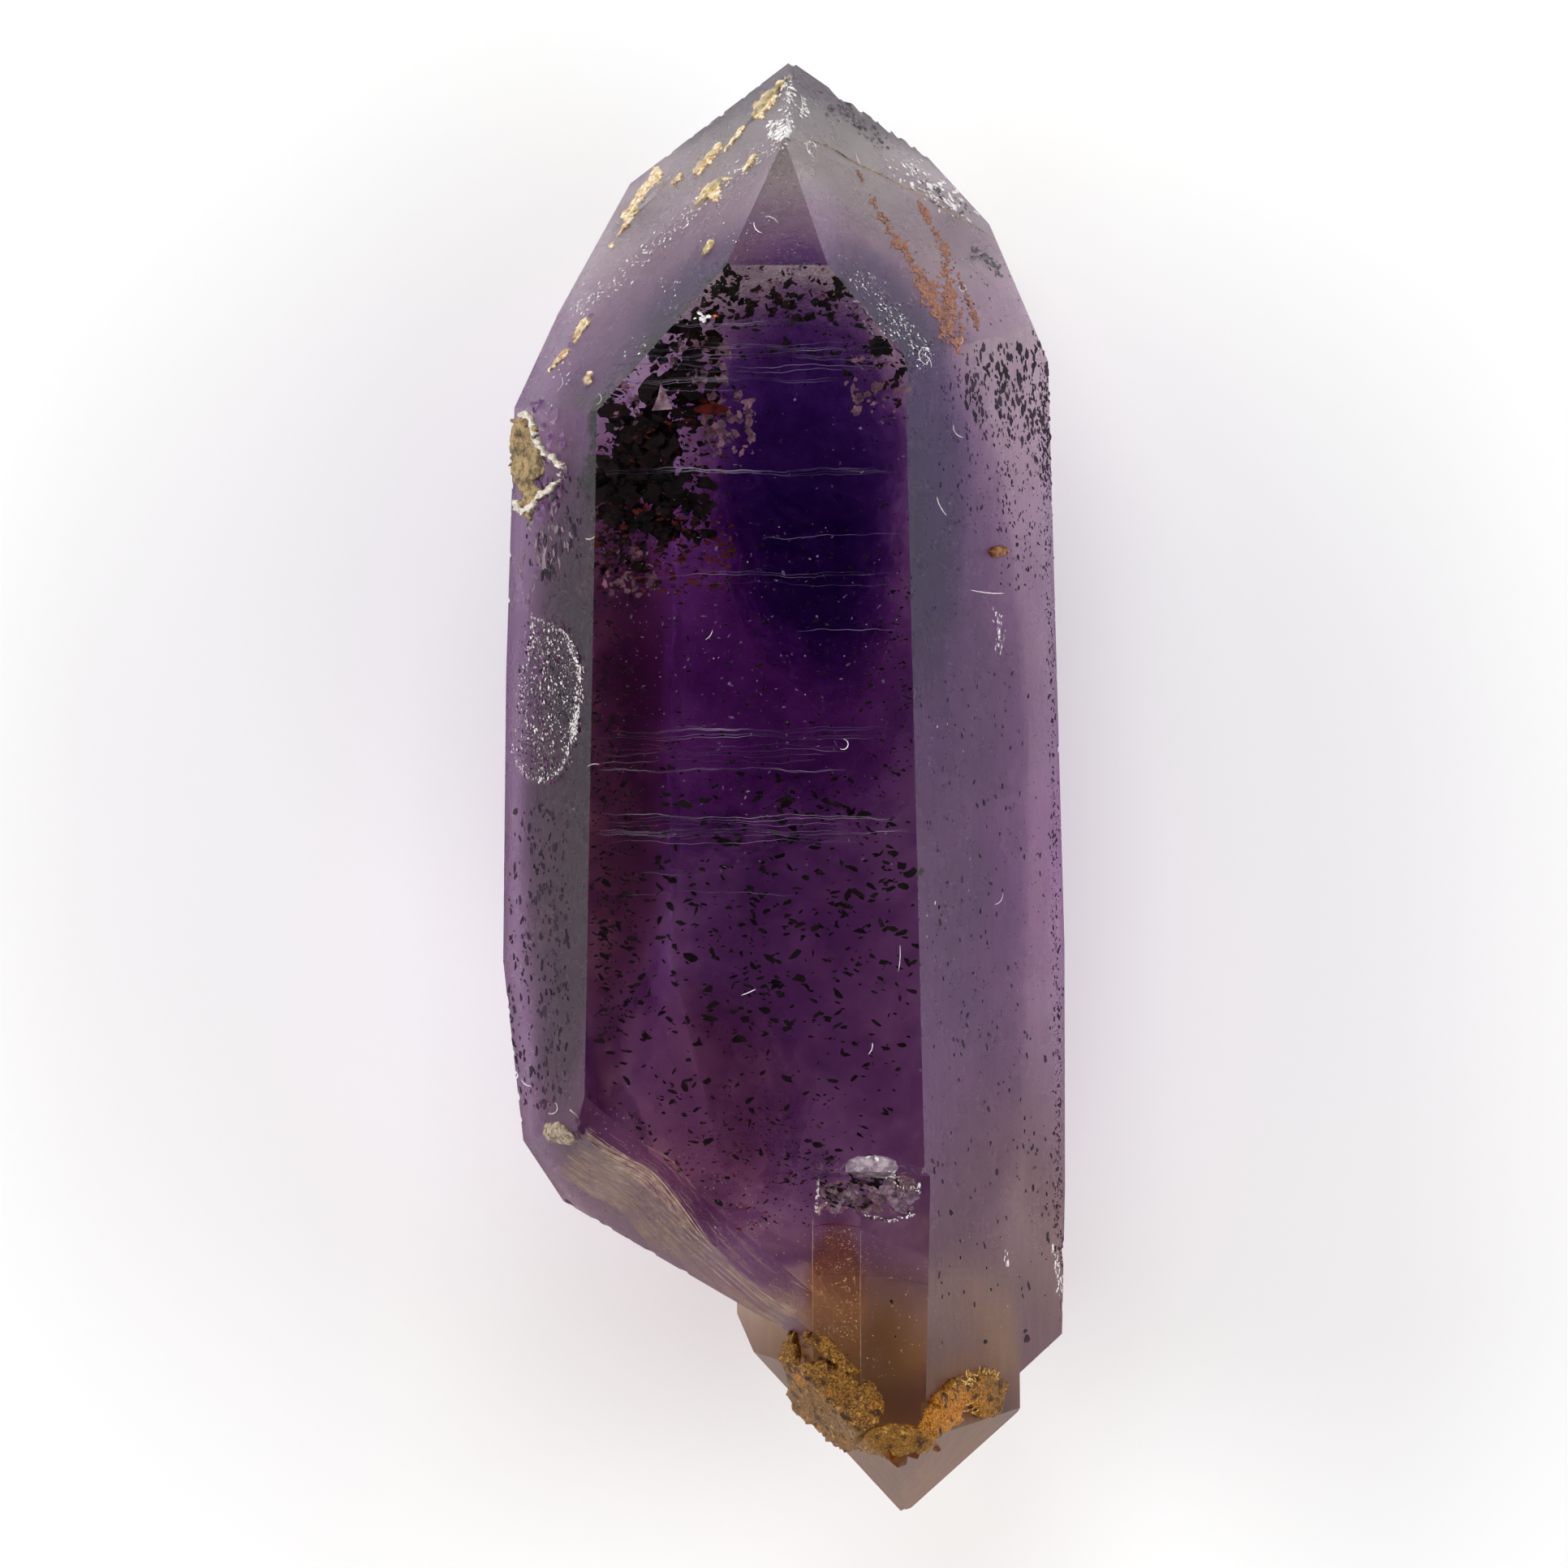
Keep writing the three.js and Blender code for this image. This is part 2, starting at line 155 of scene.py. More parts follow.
def patch_field(tree, place, centre, half, edge):
    """1 inside an ellipsoid round the centre, fading to 0 outside it; lengths in millimetres."""
    moved = added(tree, "Mapping", "Vector", {
        "Vector": place, "Scale": [1 / (h * MM) for h in half],
        "Location": [-c / h for c, h in zip(centre, half)]})
    length = added(tree, "VectorMath", "Value", {0: moved}, operation="LENGTH")
    return soft_step(tree, length, 1 - edge, 1 + edge, 1, 0)


def mixed(tree, amount, first, second):
    """The first colour or value where the amount is 0 and the second where it is 1."""
    pair = [(*given, 1) if isinstance(given, tuple) else given for given in (first, second)]
    colours = any(isinstance(given, tuple) or getattr(given, "type", "") in ("RGBA", "VECTOR")
                  for given in pair)
    start = 6 if colours else 2
    return added(tree, "Mix", 2 if colours else 0, {0: amount, start: pair[0], start + 1: pair[1]},
                 data_type="RGBA" if colours else "FLOAT")


def stretched(tree, place, stretch):
    """The place drawn out by a factor along each axis, which makes a pattern that much longer."""
    return added(tree, "Mapping", "Vector", {
        "Vector": place, "Scale": [1 / factor for factor in stretch]})


def dimmed(tree, colour, amount, least):
    """The colour times a value that goes from the least to 1 as the amount goes from 0 to 1."""
    return added(tree, "VectorMath", "Vector",
                 {0: colour, "Scale": mixed(tree, amount, least, 1.0)}, operation="SCALE")


def times(tree, colour, other):
    """Two colours multiplied, as when light passes through both."""
    return added(tree, "VectorMath", "Vector", {0: colour, 1: other}, operation="MULTIPLY")


def maximum(tree, first, second):
    """The larger of two values."""
    return added(tree, "Math", "Value", {0: first, 1: second}, operation="MAXIMUM")


def looking_up(tree, least):
    """1 where the surface looks straight up, falling to 0 where its normal's z is the least."""
    normal = added(tree, "TexCoord", "Normal", {})
    return soft_step(tree, added(tree, "SeparateXYZ", "Z", {"Vector": normal}), least, STRAIGHT_UP)


def bumped(tree, shader, height, depth, strength=1.0):
    """Small relief of the given depth in millimetres on the shader's surface."""
    relief = added(tree, "Bump", "Normal", {
        "Height": height, "Distance": depth * MM, "Strength": strength})
    tree.links.new(relief, shader.inputs["Normal"])


def let_lamps_pass(tree, shader, tint, unbent=("Is Shadow Ray",)):
    """Rays that look for a lamp go straight through, as in thin clear stone; so do the other
    kinds of ray that are named."""
    rays = tree.nodes.new("ShaderNodeLightPath")
    passes = rays.outputs[unbent[0]]
    for kind in unbent[1:]:
        passes = maximum(tree, passes, rays.outputs[kind])
    passing = added(tree, "BsdfTransparent", "BSDF", {"Color": tint})
    either = added(tree, "MixShader", "Shader", {0: passes, 1: shader.outputs["BSDF"], 2: passing})
    tree.links.new(either, tree.nodes["Material Output"].inputs["Surface"])


def fill_with_colour(tree, colour, density):
    """Plain absorption: light fades by density times (1 - colour) per metre."""
    fill = added(tree, "VolumeAbsorption", "Volume", {"Color": (*colour, 1), "Density": density})
    tree.links.new(fill, tree.nodes["Material Output"].inputs["Volume"])


# Patches of tint: middle and half sizes in millimetres, softness of the edge, colour. The shade
# on the ground takes only the tint of the two ends.
QUARTZ_TINT = (0.7, 0.65, 0.65)
END_PATCHES = [
    ((0, 21, 8), (12, 7.5, 12), 0.35, (0.67, 0.68, 0.54)),
    ((2.5, -20, 8), (7, 6.6, 9), 0.35, (0.32, 0.17, 0.03)),
]
TINT_PATCHES = [
    ((0.4, 22, 8), (4, 3.6, 12), 0.5, (0.52, 0.53, 0.46)),
    ((0.3, 17.4, 12), (1.5, 1.9, 3), 0.4, (1.0, 1.0, 0.94)),
    ((4.6, 18.8, 8), (2.4, 1.3, 12), 0.6, (0.94, 0.93, 0.9)),
    ((-4.2, 18.8, 8), (2.2, 1.5, 12), 0.6, (0.97, 0.94, 0.88)),
    ((6.4, 16.3, 8), (0.9, 0.34, 9), 0.6, (0.14, 0.13, 0.15)),
    ((5.3, 17.1, 8), (0.5, 0.7, 9), 0.7, (0.24, 0.22, 0.25)),
    ((-5.3, 17.7, 8), (1.1, 0.5, 9), 0.7, (0.24, 0.22, 0.24)),
    ((-8.2, 18, 5), (3.2, 5, 8), 0.5, (0.93, 0.88, 0.84)),
    ((-8.1, 0, 9), (1.7, 15, 5.5), 0.5, (1.0, 0.95, 0.92)),
    ((-7.6, 9.6, 8), (1.4, 3.4, 5), 0.6, (1.0, 0.96, 0.92)),
    ((-6.3, 0, 1.6), (2.7, 26, 3.4), 0.3, (1.0, 0.97, 0.92)),
    ((2.9, -16.6, 11), (1.5, 3.4, 3), 0.5, (0.15, 0.08, 0.025)),
    ((8, 16, 5), (3, 6, 8), 0.5, (0.86, 0.82, 0.84)),
    ((8.4, 9, 5), (2.2, 8, 6), 0.6, (0.96, 0.9, 0.86)),
    ((8.2, -2.5, 6), (1.8, 4, 6), 0.6, (0.95, 0.72, 0.9)),
    ((6.6, -14, 8), (3, 5, 9), 0.5, (0.36, 0.27, 0.18)),
    ((-4.5, -14.5, 8), (7, 3.2, 8), 0.5, (1.0, 0.86, 0.52)),
    ((-4.4, -12.7, 13.5), (1.9, 1.5, 2), 0.6, (1.0, 0.9, 0.8)),
    ((-2.2, -14.6, 13.5), (1.8, 1.7, 2), 0.6, (1.0, 0.88, 0.76)),
    ((1.6, -15.8, 13.4), (0.95, 2.3, 2), 0.25, (0.4, 0.17, 0.04)),
    ((1.5, -18.2, 11), (1.5, 1.6, 3), 0.5, (0.3, 0.14, 0.02)),
    ((5.4, -18.7, 10.5), (1.5, 1.2, 3), 0.5, (0.42, 0.2, 0.04)),
    ((3.4, -21.6, 8), (4, 1.9, 9), 0.4, (0.84, 0.42, 0.05)),
]
QUARTZ_FILL = {"colour": (0.62, 0.5, 0.66), "density": 85}
QUARTZ_IOR = 1.55
ETCHING_DEPTH = 0.012
amethyst, tree, quartz = new_material("amethyst")
place = object_place(tree)
tint = QUARTZ_TINT
for centre, half, edge, colour in END_PATCHES:
    tint = mixed(tree, patch_field(tree, place, centre, half, edge), tint, colour)
shade = tint
for centre, half, edge, colour in TINT_PATCHES:
    tint = mixed(tree, patch_field(tree, place, centre, half, edge), tint, colour)
# The slanting faces are etched and dusty: soft clouds, and fine streaks along the crystal.
flat = looking_up(tree, 0.9)
film = noise_field(tree, place, 1.8, detail=4, roughness=0.65, low=0.3, high=0.7)
streaks = noise_field(tree, stretched(tree, place, (1, 7, 1)), 0.35, detail=3, roughness=0.7)
tint = dimmed(tree, tint, film, 0.86)
tint = dimmed(tree, tint, maximum(tree, streaks, flat), 0.86)
# Stains on the faces underneath show through the whole stone as darker and redder clouds.
underneath = patch_field(tree, place, (0, 0, -2), (14, 30, 8.5), 0.12)
stains = mixed(tree, noise_field(tree, place, 2.6, detail=3, roughness=0.6, low=0.4, high=0.62),
               (0.7, 0.58, 0.76), CLEAR)
tint = times(tree, tint, mixed(tree, underneath, CLEAR, stains))
# The front face is bright, the slanting faces and the lower end are dull, and the faces
# underneath are frosted.
dull = mixed(tree, flat, mixed(tree, film, 0.2, 0.34), 0.03)
dull = mixed(tree, underneath, dull, 0.8)
dull = mixed(tree, patch_field(tree, place, (2.5, -20, 9), (8, 6, 9), 0.25), dull, 0.36)
plugged(tree, quartz, {
    "Base Color": tint, "Roughness": dull, "Transmission Weight": 1.0, "IOR": QUARTZ_IOR,
    "Specular IOR Level": 0.2, "Specular Tint": (0.05, 0.05, 0.05, 1)})
etching = maximum(tree, noise_field(tree, place, 0.22, detail=4, roughness=0.65), flat)
bumped(tree, quartz, etching, ETCHING_DEPTH, 0.6)
let_lamps_pass(tree, quartz, shade)
fill_with_colour(tree, QUARTZ_FILL["colour"], QUARTZ_FILL["density"])
crystal = bpy.data.objects["amethyst_point"]
for slot in crystal.material_slots:
    slot.material = amethyst

# The colour zones: parts of the crystal that took up more iron as it grew. Each one is a soft
# cloud of colour in the clear quartz, thick in the middle and thinning out to nothing.
MIDDLE_HEIGHT = 6.75
ZONE_RINGS, ZONE_SPOKES = 26, 72
ZONE_MARGIN = 0.45
HAIR = 1e-6
# Faces: turn round the length and rise towards the upper end in degrees, reach from the middle.
CRYSTAL_FACES = {
    "front": (0, 0, 6.75), "back": (180, 0, 6.75), "right": (60, 1.2, 6.89),
    "right low": (60, -1, 7.372), "left": (-60, 0.9, 8.57), "right back": (120, 1.6, 7.99),
    "right back low": (120, -1, 8.22), "left back": (-120, 2.2, 6.56),
    "left back middle": (-120, 0.1, 6.44), "left back low": (-120, -12, 7.45),
    "top front": (0, 35.5, 14.82), "top left": (-58.9, 37.2, 13.71),
    "top right": (55.3, 34.4, 13.16), "top left upper": (-64, 40.9, 14.41),
    "top right upper": (58.9, 40.8, 14.63), "top rear": (180, 36.9, 13.94),
    "shoulder": (90, 23, 12.71), "shoulder upper": (90, 42.5, 16.51),
    "low slope": (-54.2, -43.3, 13.84), "low bevel": (-14.7, -16.4, 10.49),
    "low rear": (-128.2, -61.6, 13.33), "low right": (114.7, -61.2, 18.96),
}


def face_normals(faces):
    """Unit normals of the faces: turned round the length, then raised towards the upper end."""
    turn, tip = np.radians(np.array([face[:2] for face in faces.values()], float)).T
    return np.stack([np.sin(turn) * np.cos(tip), np.sin(tip), np.cos(turn) * np.cos(tip)], axis=-1)


def kept_inside(points, middle, margin):
    """Each point is drawn towards the middle until it is the margin behind every face: the share
    is the least of (room to a face) / (way towards it), or 1."""
    normals = face_normals(CRYSTAL_FACES)
    reaches = np.array([face[2] for face in CRYSTAL_FACES.values()]) - margin
    room = reaches - (np.array(middle, float) - [0, 0, MIDDLE_HEIGHT]) @ normals.T
    way = np.maximum((points - middle) @ normals.T, HAIR)
    return middle + (points - middle) * np.minimum(1, (room / way).min(axis=-1))[:, None]


def cloud_body(middle, half, squareness, edge, waves, seed):
    """At share s of the way out along spoke t, the two sheets are half height * (1 - s^4)^edge
    above and below the middle. The rim is a superellipse that a few slow waves push in and out."""
    random = np.random.default_rng(seed)
    turn = np.linspace(0, 2 * np.pi, ZONE_SPOKES, endpoint=False)
    rim = (abs(np.cos(turn)) ** squareness + abs(np.sin(turn)) ** squareness) ** (-1 / squareness)
    for count in (2, 3, 5, 8):
        rim = rim * (1 + waves / count * np.sin(count * turn + random.uniform(0, 2 * np.pi)))
    share = np.linspace(0, 1, ZONE_RINGS + 1)[1:, None]
    x = middle[0] + half[0] * share * rim * np.cos(turn)
    y = middle[1] + half[1] * share * rim * np.sin(turn)
    swell = half[2] * (1 - share ** 4) ** edge + 0 * turn
    upper = np.stack([x, y, middle[2] + swell], axis=-1)
    under = np.stack([x, y, middle[2] - swell], axis=-1)[-2::-1]
    poles = np.array([middle, middle], float) + [[0, 0, half[2]], [0, 0, -half[2]]]
    points = np.concatenate([upper.reshape(-1, 3), under.reshape(-1, 3), poles])
    return kept_inside(points, middle, ZONE_MARGIN)


def closed_rings(rings, columns):
    """Quads between the rings of a closed body, and a fan of triangles at each pole."""
    numbers = np.arange(rings * columns).reshape(rings, columns)
    there = np.roll(numbers, -1, axis=1)
    quads = np.stack([numbers[:-1], numbers[1:], there[1:], there[:-1]], axis=-1).reshape(-1, 4)
    first, last = rings * columns, rings * columns + 1
    first_fan = np.stack([np.full(columns, first), numbers[0], there[0]], axis=-1)
    last_fan = np.stack([np.full(columns, last), there[-1], numbers[-1]], axis=-1)
    return quads.tolist() + first_fan.tolist() + last_fan.tolist()


def new_piece(name, points, polygons, material, smooth=False):
    """A mesh that rides on the crystal, from points in millimetres and lists of corner numbers."""
    mesh = bpy.data.meshes.new(name)
    mesh.from_pydata((np.asarray(points) * MM).tolist(), [], polygons)
    mesh.polygons.foreach_set("use_smooth", np.full(len(mesh.polygons), smooth))
    mesh.materials.append(material)
    piece = bpy.data.objects.new(name, mesh)
    scene.collection.objects.link(piece)
    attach(piece, "root")


# Each zone: middle, half size, squareness, edge and waves of its body; colour and density.
ZONES = {
    "violet_zone": [((-0.1, -0.9, MIDDLE_HEIGHT), (7.4, 17.4, 6.4), 2.6, 1.5, 0.07),
                    (0.6, 0.33, 0.67), 155],
    "indigo_zone": [((0.8, 9.5, 7.6), (3.4, 6.7, 5.2), 2.0, 1.8, 0.16), (0.32, 0.03, 0.66), 275],
    "deep_band": [((-0.9, 3.7, 8.4), (5.2, 6.8, 3.7), 2.2, 1.8, 0.16), (0.7, 0.06, 0.85), 160],
    "plum_zone": [((-5.2, 0.6, 8.8), (1.9, 12.4, 3.9), 2.2, 2.2, 0.16), (0.48, 0.22, 0.26), 330],
    "brown_zone": [((-3.2, -10.2, 8.4), (4.2, 4.2, 4.0), 2.2, 1.8, 0.2), (0.7, 0.42, 0.3), 100],
}
# A zone is mottled within this share of its half sizes, and evenly clear beyond it.
MOTTLED_SHARE = 0.85
MOTTLING = (0.62, 0.46, 0.72)
for seed, (name, (body, colour, density)) in enumerate(ZONES.items()):
    stone, tree, shader = new_material(name)
    place = object_place(tree)
    middle, half = body[:2]
    within = patch_field(tree, place, middle, np.multiply(half, MOTTLED_SHARE), 0.5)
    mottled = mixed(tree, noise_field(tree, place, 1.4, roughness=0.65, low=0.4, high=0.6),
                    MOTTLING, CLEAR)
    mottled = mixed(tree, within, CLEAR, mottled)
    plugged(tree, shader, {
        "Base Color": mottled, "Transmission Weight": 1.0, "IOR": 1.0, "Roughness": 0.0})
    let_lamps_pass(tree, shader, mottled, ("Is Shadow Ray", "Is Transmission Ray"))
    fill_with_colour(tree, colour, density)
    new_piece(name, cloud_body(*body, seed), closed_rings(2 * ZONE_RINGS - 1, ZONE_SPOKES), stone,
              smooth=True)

# The dark inclusions: thin platelets of iron oxide that settled on the growing faces and were
# closed in by later quartz. They lie scattered in layers close under the surface.
UPPER_FACES = {name: face for name, face in CRYSTAL_FACES.items() if abs(face[0]) < 90}
TIP_FACES = {
    "front": (0, 0, 6.47), "front narrow": (-11, 0, 5.9), "right": (60, 0.3, 6.81),
    "left": (-60, 0, 2.32), "low right": (67.4, -40.5, 18.07), "low left": (-67.4, -40.5, 12.99),
}
LEDGE_LEFT, LEDGE_TOP = 0.88, -12.0


def lowest_plane(x, y, faces):
    """Over (x, y) each face's plane is (reach + n.centre - nx x - ny y) / nz high; the lowest
    plane is the face that shows there. Gives its height and its number."""
    normals = face_normals(faces)
    reaches = np.array([face[2] for face in faces.values()]) + normals[:, 2] * MIDDLE_HEIGHT
    heights = reaches - x[..., None] * normals[:, 0] - y[..., None] * normals[:, 1]
    heights = heights / normals[:, 2]
    number = heights.argmin(axis=-1)
    return np.take_along_axis(heights, number[..., None], -1)[..., 0], number


def crystal_face(x, y):
    """Height and unit normal of the surface over (x, y). Below the ledge the crystal is cut back
    to the tip's two front planes, and the tip's other faces show where they stand higher."""
    height, number = lowest_plane(x, y, UPPER_FACES)
    normal = face_normals(UPPER_FACES)[number]
    tip_height, tip_number = lowest_plane(x, y, TIP_FACES)
    tip_front, _ = lowest_plane(x, y, dict(list(TIP_FACES.items())[:2]))
    in_ledge = (x > LEDGE_LEFT) & (y < LEDGE_TOP)
    height = np.where(in_ledge, np.minimum(height, tip_front), height)
    on_tip = (tip_height > height - HAIR) & (y < LEDGE_TOP)
    normal = np.where(on_tip[..., None], face_normals(TIP_FACES)[tip_number], normal)
    return np.where(on_tip, tip_height, height), normal


def below_face(x, y, depth):
    """Points at the given depth straight under the face that shows over (x, y)."""
    height, normal = crystal_face(x, y)
    return np.stack([x, y, height], axis=-1) - normal * np.asarray(depth)[..., None], normal


# Small grains far outnumber large ones, and a patch is nearly a rectangle.
MOSTLY_SMALL = 1.6
SQUARED = 0.8


def sized(x, y, count, sizes, depths, random):
    """Rows of place, size and depth, with random sizes and depths from the two ranges."""
    size = sizes[0] * (sizes[1] / sizes[0]) ** (random.uniform(0, 1, count) ** MOSTLY_SMALL)
    return np.stack([x, y, size, random.uniform(*depths, count)], axis=-1)


def in_patch(x, y, half_x, half_y, count, sizes, depths, random):
    """Rows spread over a patch: its middle + half size times (cos, sin) drawn towards a square."""
    turn, out = random.uniform(0, 2 * np.pi, count), np.sqrt(random.uniform(0, 1, count))
    out = out / np.maximum(abs(np.cos(turn)), abs(np.sin(turn))) ** SQUARED
    return sized(x + half_x * out * np.cos(turn), y + half_y * out * np.sin(turn),
                 count, sizes, depths, random)


def along_line(line, spread, count, sizes, depths, random):
    """Rows at random places on a line of points, each pushed off it by a normal spread."""
    line = np.asarray(line, float)
    share = random.uniform(0, len(line) - 1, count)
    knots = np.arange(len(line))
    x, y = (np.interp(share, knots, line[:, k]) + random.normal(0, spread, count) for k in (0, 1))
    return sized(x, y, count, sizes, depths, random)


def scattered(random, patches=(), lines=()):
    """The rows of every patch, and then those of every line."""
    return np.concatenate([in_patch(*patch, random) for patch in patches]
                          + [along_line(*line, random) for line in lines])


# How far a plate's corners may be off, as a share of the angle between two of them; its thickness
# as a share of its length; and how far beyond its own height its middle may lie outside the planes
# of the faces.
UNEVEN = 0.32
THICKNESS = 0.12
ALLOWED_OUT = 0.002


def across_and_up(normals):
    """Two unit directions in the plane of each normal: one level across, one up along it."""
    across = np.cross(np.array([0.0, 1.0, 0.0]), normals)
    across /= np.linalg.norm(across, axis=-1, keepdims=True)
    return across, np.cross(normals, across)


def tilted(normals, lean, random):
    """The normals, each leant over by a random amount up to the given share."""
    leant = normals + random.uniform(-lean, lean, normals.shape)
    return leant / np.linalg.norm(leant, axis=-1, keepdims=True)


def plates(middles, normals, halves, spins, corners, ragged, random):
    """Corner k of a plate is its middle + radius times (a cos t, b sin t) in the plate's plane,
    with uneven t and radius; the two sheets are a plate's thickness apart."""
    count = len(middles)
    uneven = random.uniform(-UNEVEN, UNEVEN, (count, corners))
    turn = 2 * np.pi * (np.arange(corners) + uneven) / corners
    radius = 1 - ragged * random.uniform(0, 1, (count, corners))
    a = halves[:, :1] * radius * np.cos(turn)
    b = halves[:, 1:2] * radius * np.sin(turn)
    spin = spins[:, None]
    u, v = a * np.cos(spin) - b * np.sin(spin), a * np.sin(spin) + b * np.cos(spin)
    across, up = across_and_up(normals)
    sheet = middles[:, None] + u[..., None] * across[:, None] + v[..., None] * up[:, None]
    lift = normals[:, None] * halves[:, 2][:, None, None]
    return np.concatenate([sheet + lift, sheet - lift], axis=1).reshape(-1, 3)


def plate_polygons(count, corners):
    """The upper sheet, the under sheet and the quads round the rim of each plate."""
    start = 2 * corners * np.arange(count)[:, None]
    ring = np.arange(corners)
    after = np.roll(ring, -1)
    rims = np.stack([start + corners + ring, start + corners + after, start + after, start + ring],
                    axis=-1)
    upper, under = start + ring, start + corners + ring[::-1]
    return upper.tolist() + under.tolist() + rims.reshape(-1, 4).tolist()


def within_crystal(points, margin):
    """True where a point is at least the margin behind the plane of every face."""
    reaches = np.array([face[2] for face in CRYSTAL_FACES.values()])
    outward = (points - [0, 0, MIDDLE_HEIGHT]) @ face_normals(CRYSTAL_FACES).T
    return (outward < reaches - np.asarray(margin)[..., None]).all(axis=-1)


def plate_piece(name, rows, material, shape, random, wanted="any"):
    """Plates at the places of the rows; each leans a little out of the face that it lies in."""
    middles, normals = below_face(rows[:, 0], rows[:, 1], rows[:, 3])
    in_front = normals[:, 2] > STRAIGHT_UP
    kept = within_crystal(middles, np.minimum(rows[:, 3], 0) - ALLOWED_OUT)
    if wanted != "any":
        kept = kept & (in_front == (wanted == "front"))
    rows, middles, normals = rows[kept], middles[kept], normals[kept]
    count = len(rows)
    narrow = rows[:, 2] * random.uniform(*shape["narrow"], count)
    thick = np.minimum(rows[:, 2] * THICKNESS, shape["thickest"])
    halves = np.stack([rows[:, 2], narrow, thick], axis=-1)
    spins = random.normal(shape["spin"], shape["spin_spread"], count)
    points = plates(middles, tilted(normals, shape["lean"], random), halves, spins,
                    shape["corners"], shape["ragged"], random)
    new_piece(name, points, plate_polygons(count, shape["corners"]), material)


def two_toned(name, dark, light, cloud, relief, depth, roughness, specular=0.5):
    """A material of two colours in clouds, with relief of the given depth in millimetres. The
    cloud and the relief are settings of noise_field."""
    material, tree, shader = new_material(name)
    place = object_place(tree)
    plugged(tree, shader, {
        "Base Color": mixed(tree, noise_field(tree, place, **cloud), dark, light),
        "Roughness": roughness, "Specular IOR Level": specular})
    bumped(tree, shader, noise_field(tree, place, **relief), depth)
    return material


def oxide(name, dark, light, size, roughness):
    """Iron oxide, and also the painted glints: two colours in clouds of the given size in
    millimetres, with a fine grain.
    """
    return two_toned(name, dark, light, {"size": size}, {"size": size * 0.2, "detail": 2}, 0.01,
                     roughness, 0.12)


black_oxide = oxide("black_oxide", (0.0004, 0.0002, 0.0005), (0.006, 0.0015, 0.002), 0.8, 0.5)
red_oxide = oxide("red_oxide", (0.005, 0.0008, 0.0008), (0.09, 0.012, 0.007), 0.5, 0.5)

# Patches: middle x and y, half sizes, count, half lengths of the flecks, depths; in millimetres.
FRONT_FLECKS = [
    (-0.9, -4.6, 5.0, 5.4, 420, (0.05, 0.25), (0.1, 1.5)),
    (-0.9, -4.2, 5.0, 3.8, 330, (0.09, 0.34), (0.06, 0.8)),
    (-0.6, -9.4, 4.4, 2.2, 60, (0.08, 0.26), (0.06, 0.8)),
    (-3.6, -11.4, 2.8, 1.8, 40, (0.1, 0.25), (0.03, 0.4)),
    (-0.9, 2.9, 4.9, 4.6, 620, (0.035, 0.15), (0.06, 0.9)),
    (-3.5, 11.8, 2.3, 3.0, 330, (0.04, 0.26), (0.1, 1.6)),
    (-4.2, 8.8, 1.9, 2.2, 360, (0.04, 0.22), (0.1, 1.4)),
    (0.2, 14.8, 3.0, 1.7, 420, (0.03, 0.2), (0.08, 1.2)),
    (3.0, 13.0, 1.1, 1.9, 150, (0.04, 0.26), (0.08, 0.8)),
    (-5.3, 1.5, 0.7, 9.5, 620, (0.04, 0.16), (0.06, 1.2)),
    (1.3, 9.3, 2.8, 4.6, 260, (0.025, 0.12), (0.1, 1.6)),
    (3.6, 3.4, 0.9, 3.4, 130, (0.03, 0.14), (0.1, 0.8)),
    (-1.4, -11.4, 4.2, 2.2, 140, (0.04, 0.13), (0.1, 1.6)),
]
RED_FLECKS = [
    (-3.9, 7.4, 2.4, 1.5, 300, (0.06, 0.24), (0.1, 1.2)),
    (-3.4, 11.3, 1.7, 2.0, 110, (0.06, 0.26), (0.3, 1.6)),
    (-1.1, -11.9, 2.6, 1.9, 420, (0.025, 0.12), (0.1, 1.6)),
    (-5.2, 0.4, 0.9, 5.0, 150, (0.03, 0.09), (0.3, 2.0)),
    (0.0, 15.3, 2.4, 0.9, 60, (0.04, 0.12), (0.1, 0.8)),
]
# On the slanting faces the platelets lie bare on the surface.
BARE = (-0.007, -0.001)
SIDE_FLECKS = [
    (6.8, 12.1, 1.2, 1.6, 210, (0.06, 0.27), BARE),
    (7.4, 12.4, 0.8, 1.2, 60, (0.12, 0.3), BARE),
    (6.2, 10.6, 1.4, 2.8, 220, (0.03, 0.15), BARE),
    (7.4, 8.6, 0.8, 2.6, 230, (0.03, 0.14), BARE),
    (6.3, -2.4, 1.9, 6.0, 240, (0.03, 0.14), BARE),
    (6.4, -11.8, 1.9, 4.4, 90, (0.06, 0.19), BARE),
    (7.9, -13.5, 0.6, 3.0, 26, (0.05, 0.15), BARE),
    (4.9, 8.0, 1.0, 6.0, 90, (0.02, 0.07), BARE),
    (-7.6, -5.4, 0.95, 4.8, 330, (0.06, 0.25), BARE),
    (-7.1, 8.0, 0.9, 1.6, 90, (0.06, 0.3), BARE),
    (-7.4, 2.6, 0.9, 2.5, 300, (0.03, 0.1), BARE),
    (6.3, 15.2, 1.4, 1.2, 40, (0.03, 0.09), BARE),
    (2.6, -15.2, 1.6, 2.6, 34, (0.02, 0.07), BARE),
]
RIGHT_EDGE = [(8.0, 14.0), (8.2, 9.0), (8.4, 0.0), (8.5, -8.0), (8.55, -15.0)]
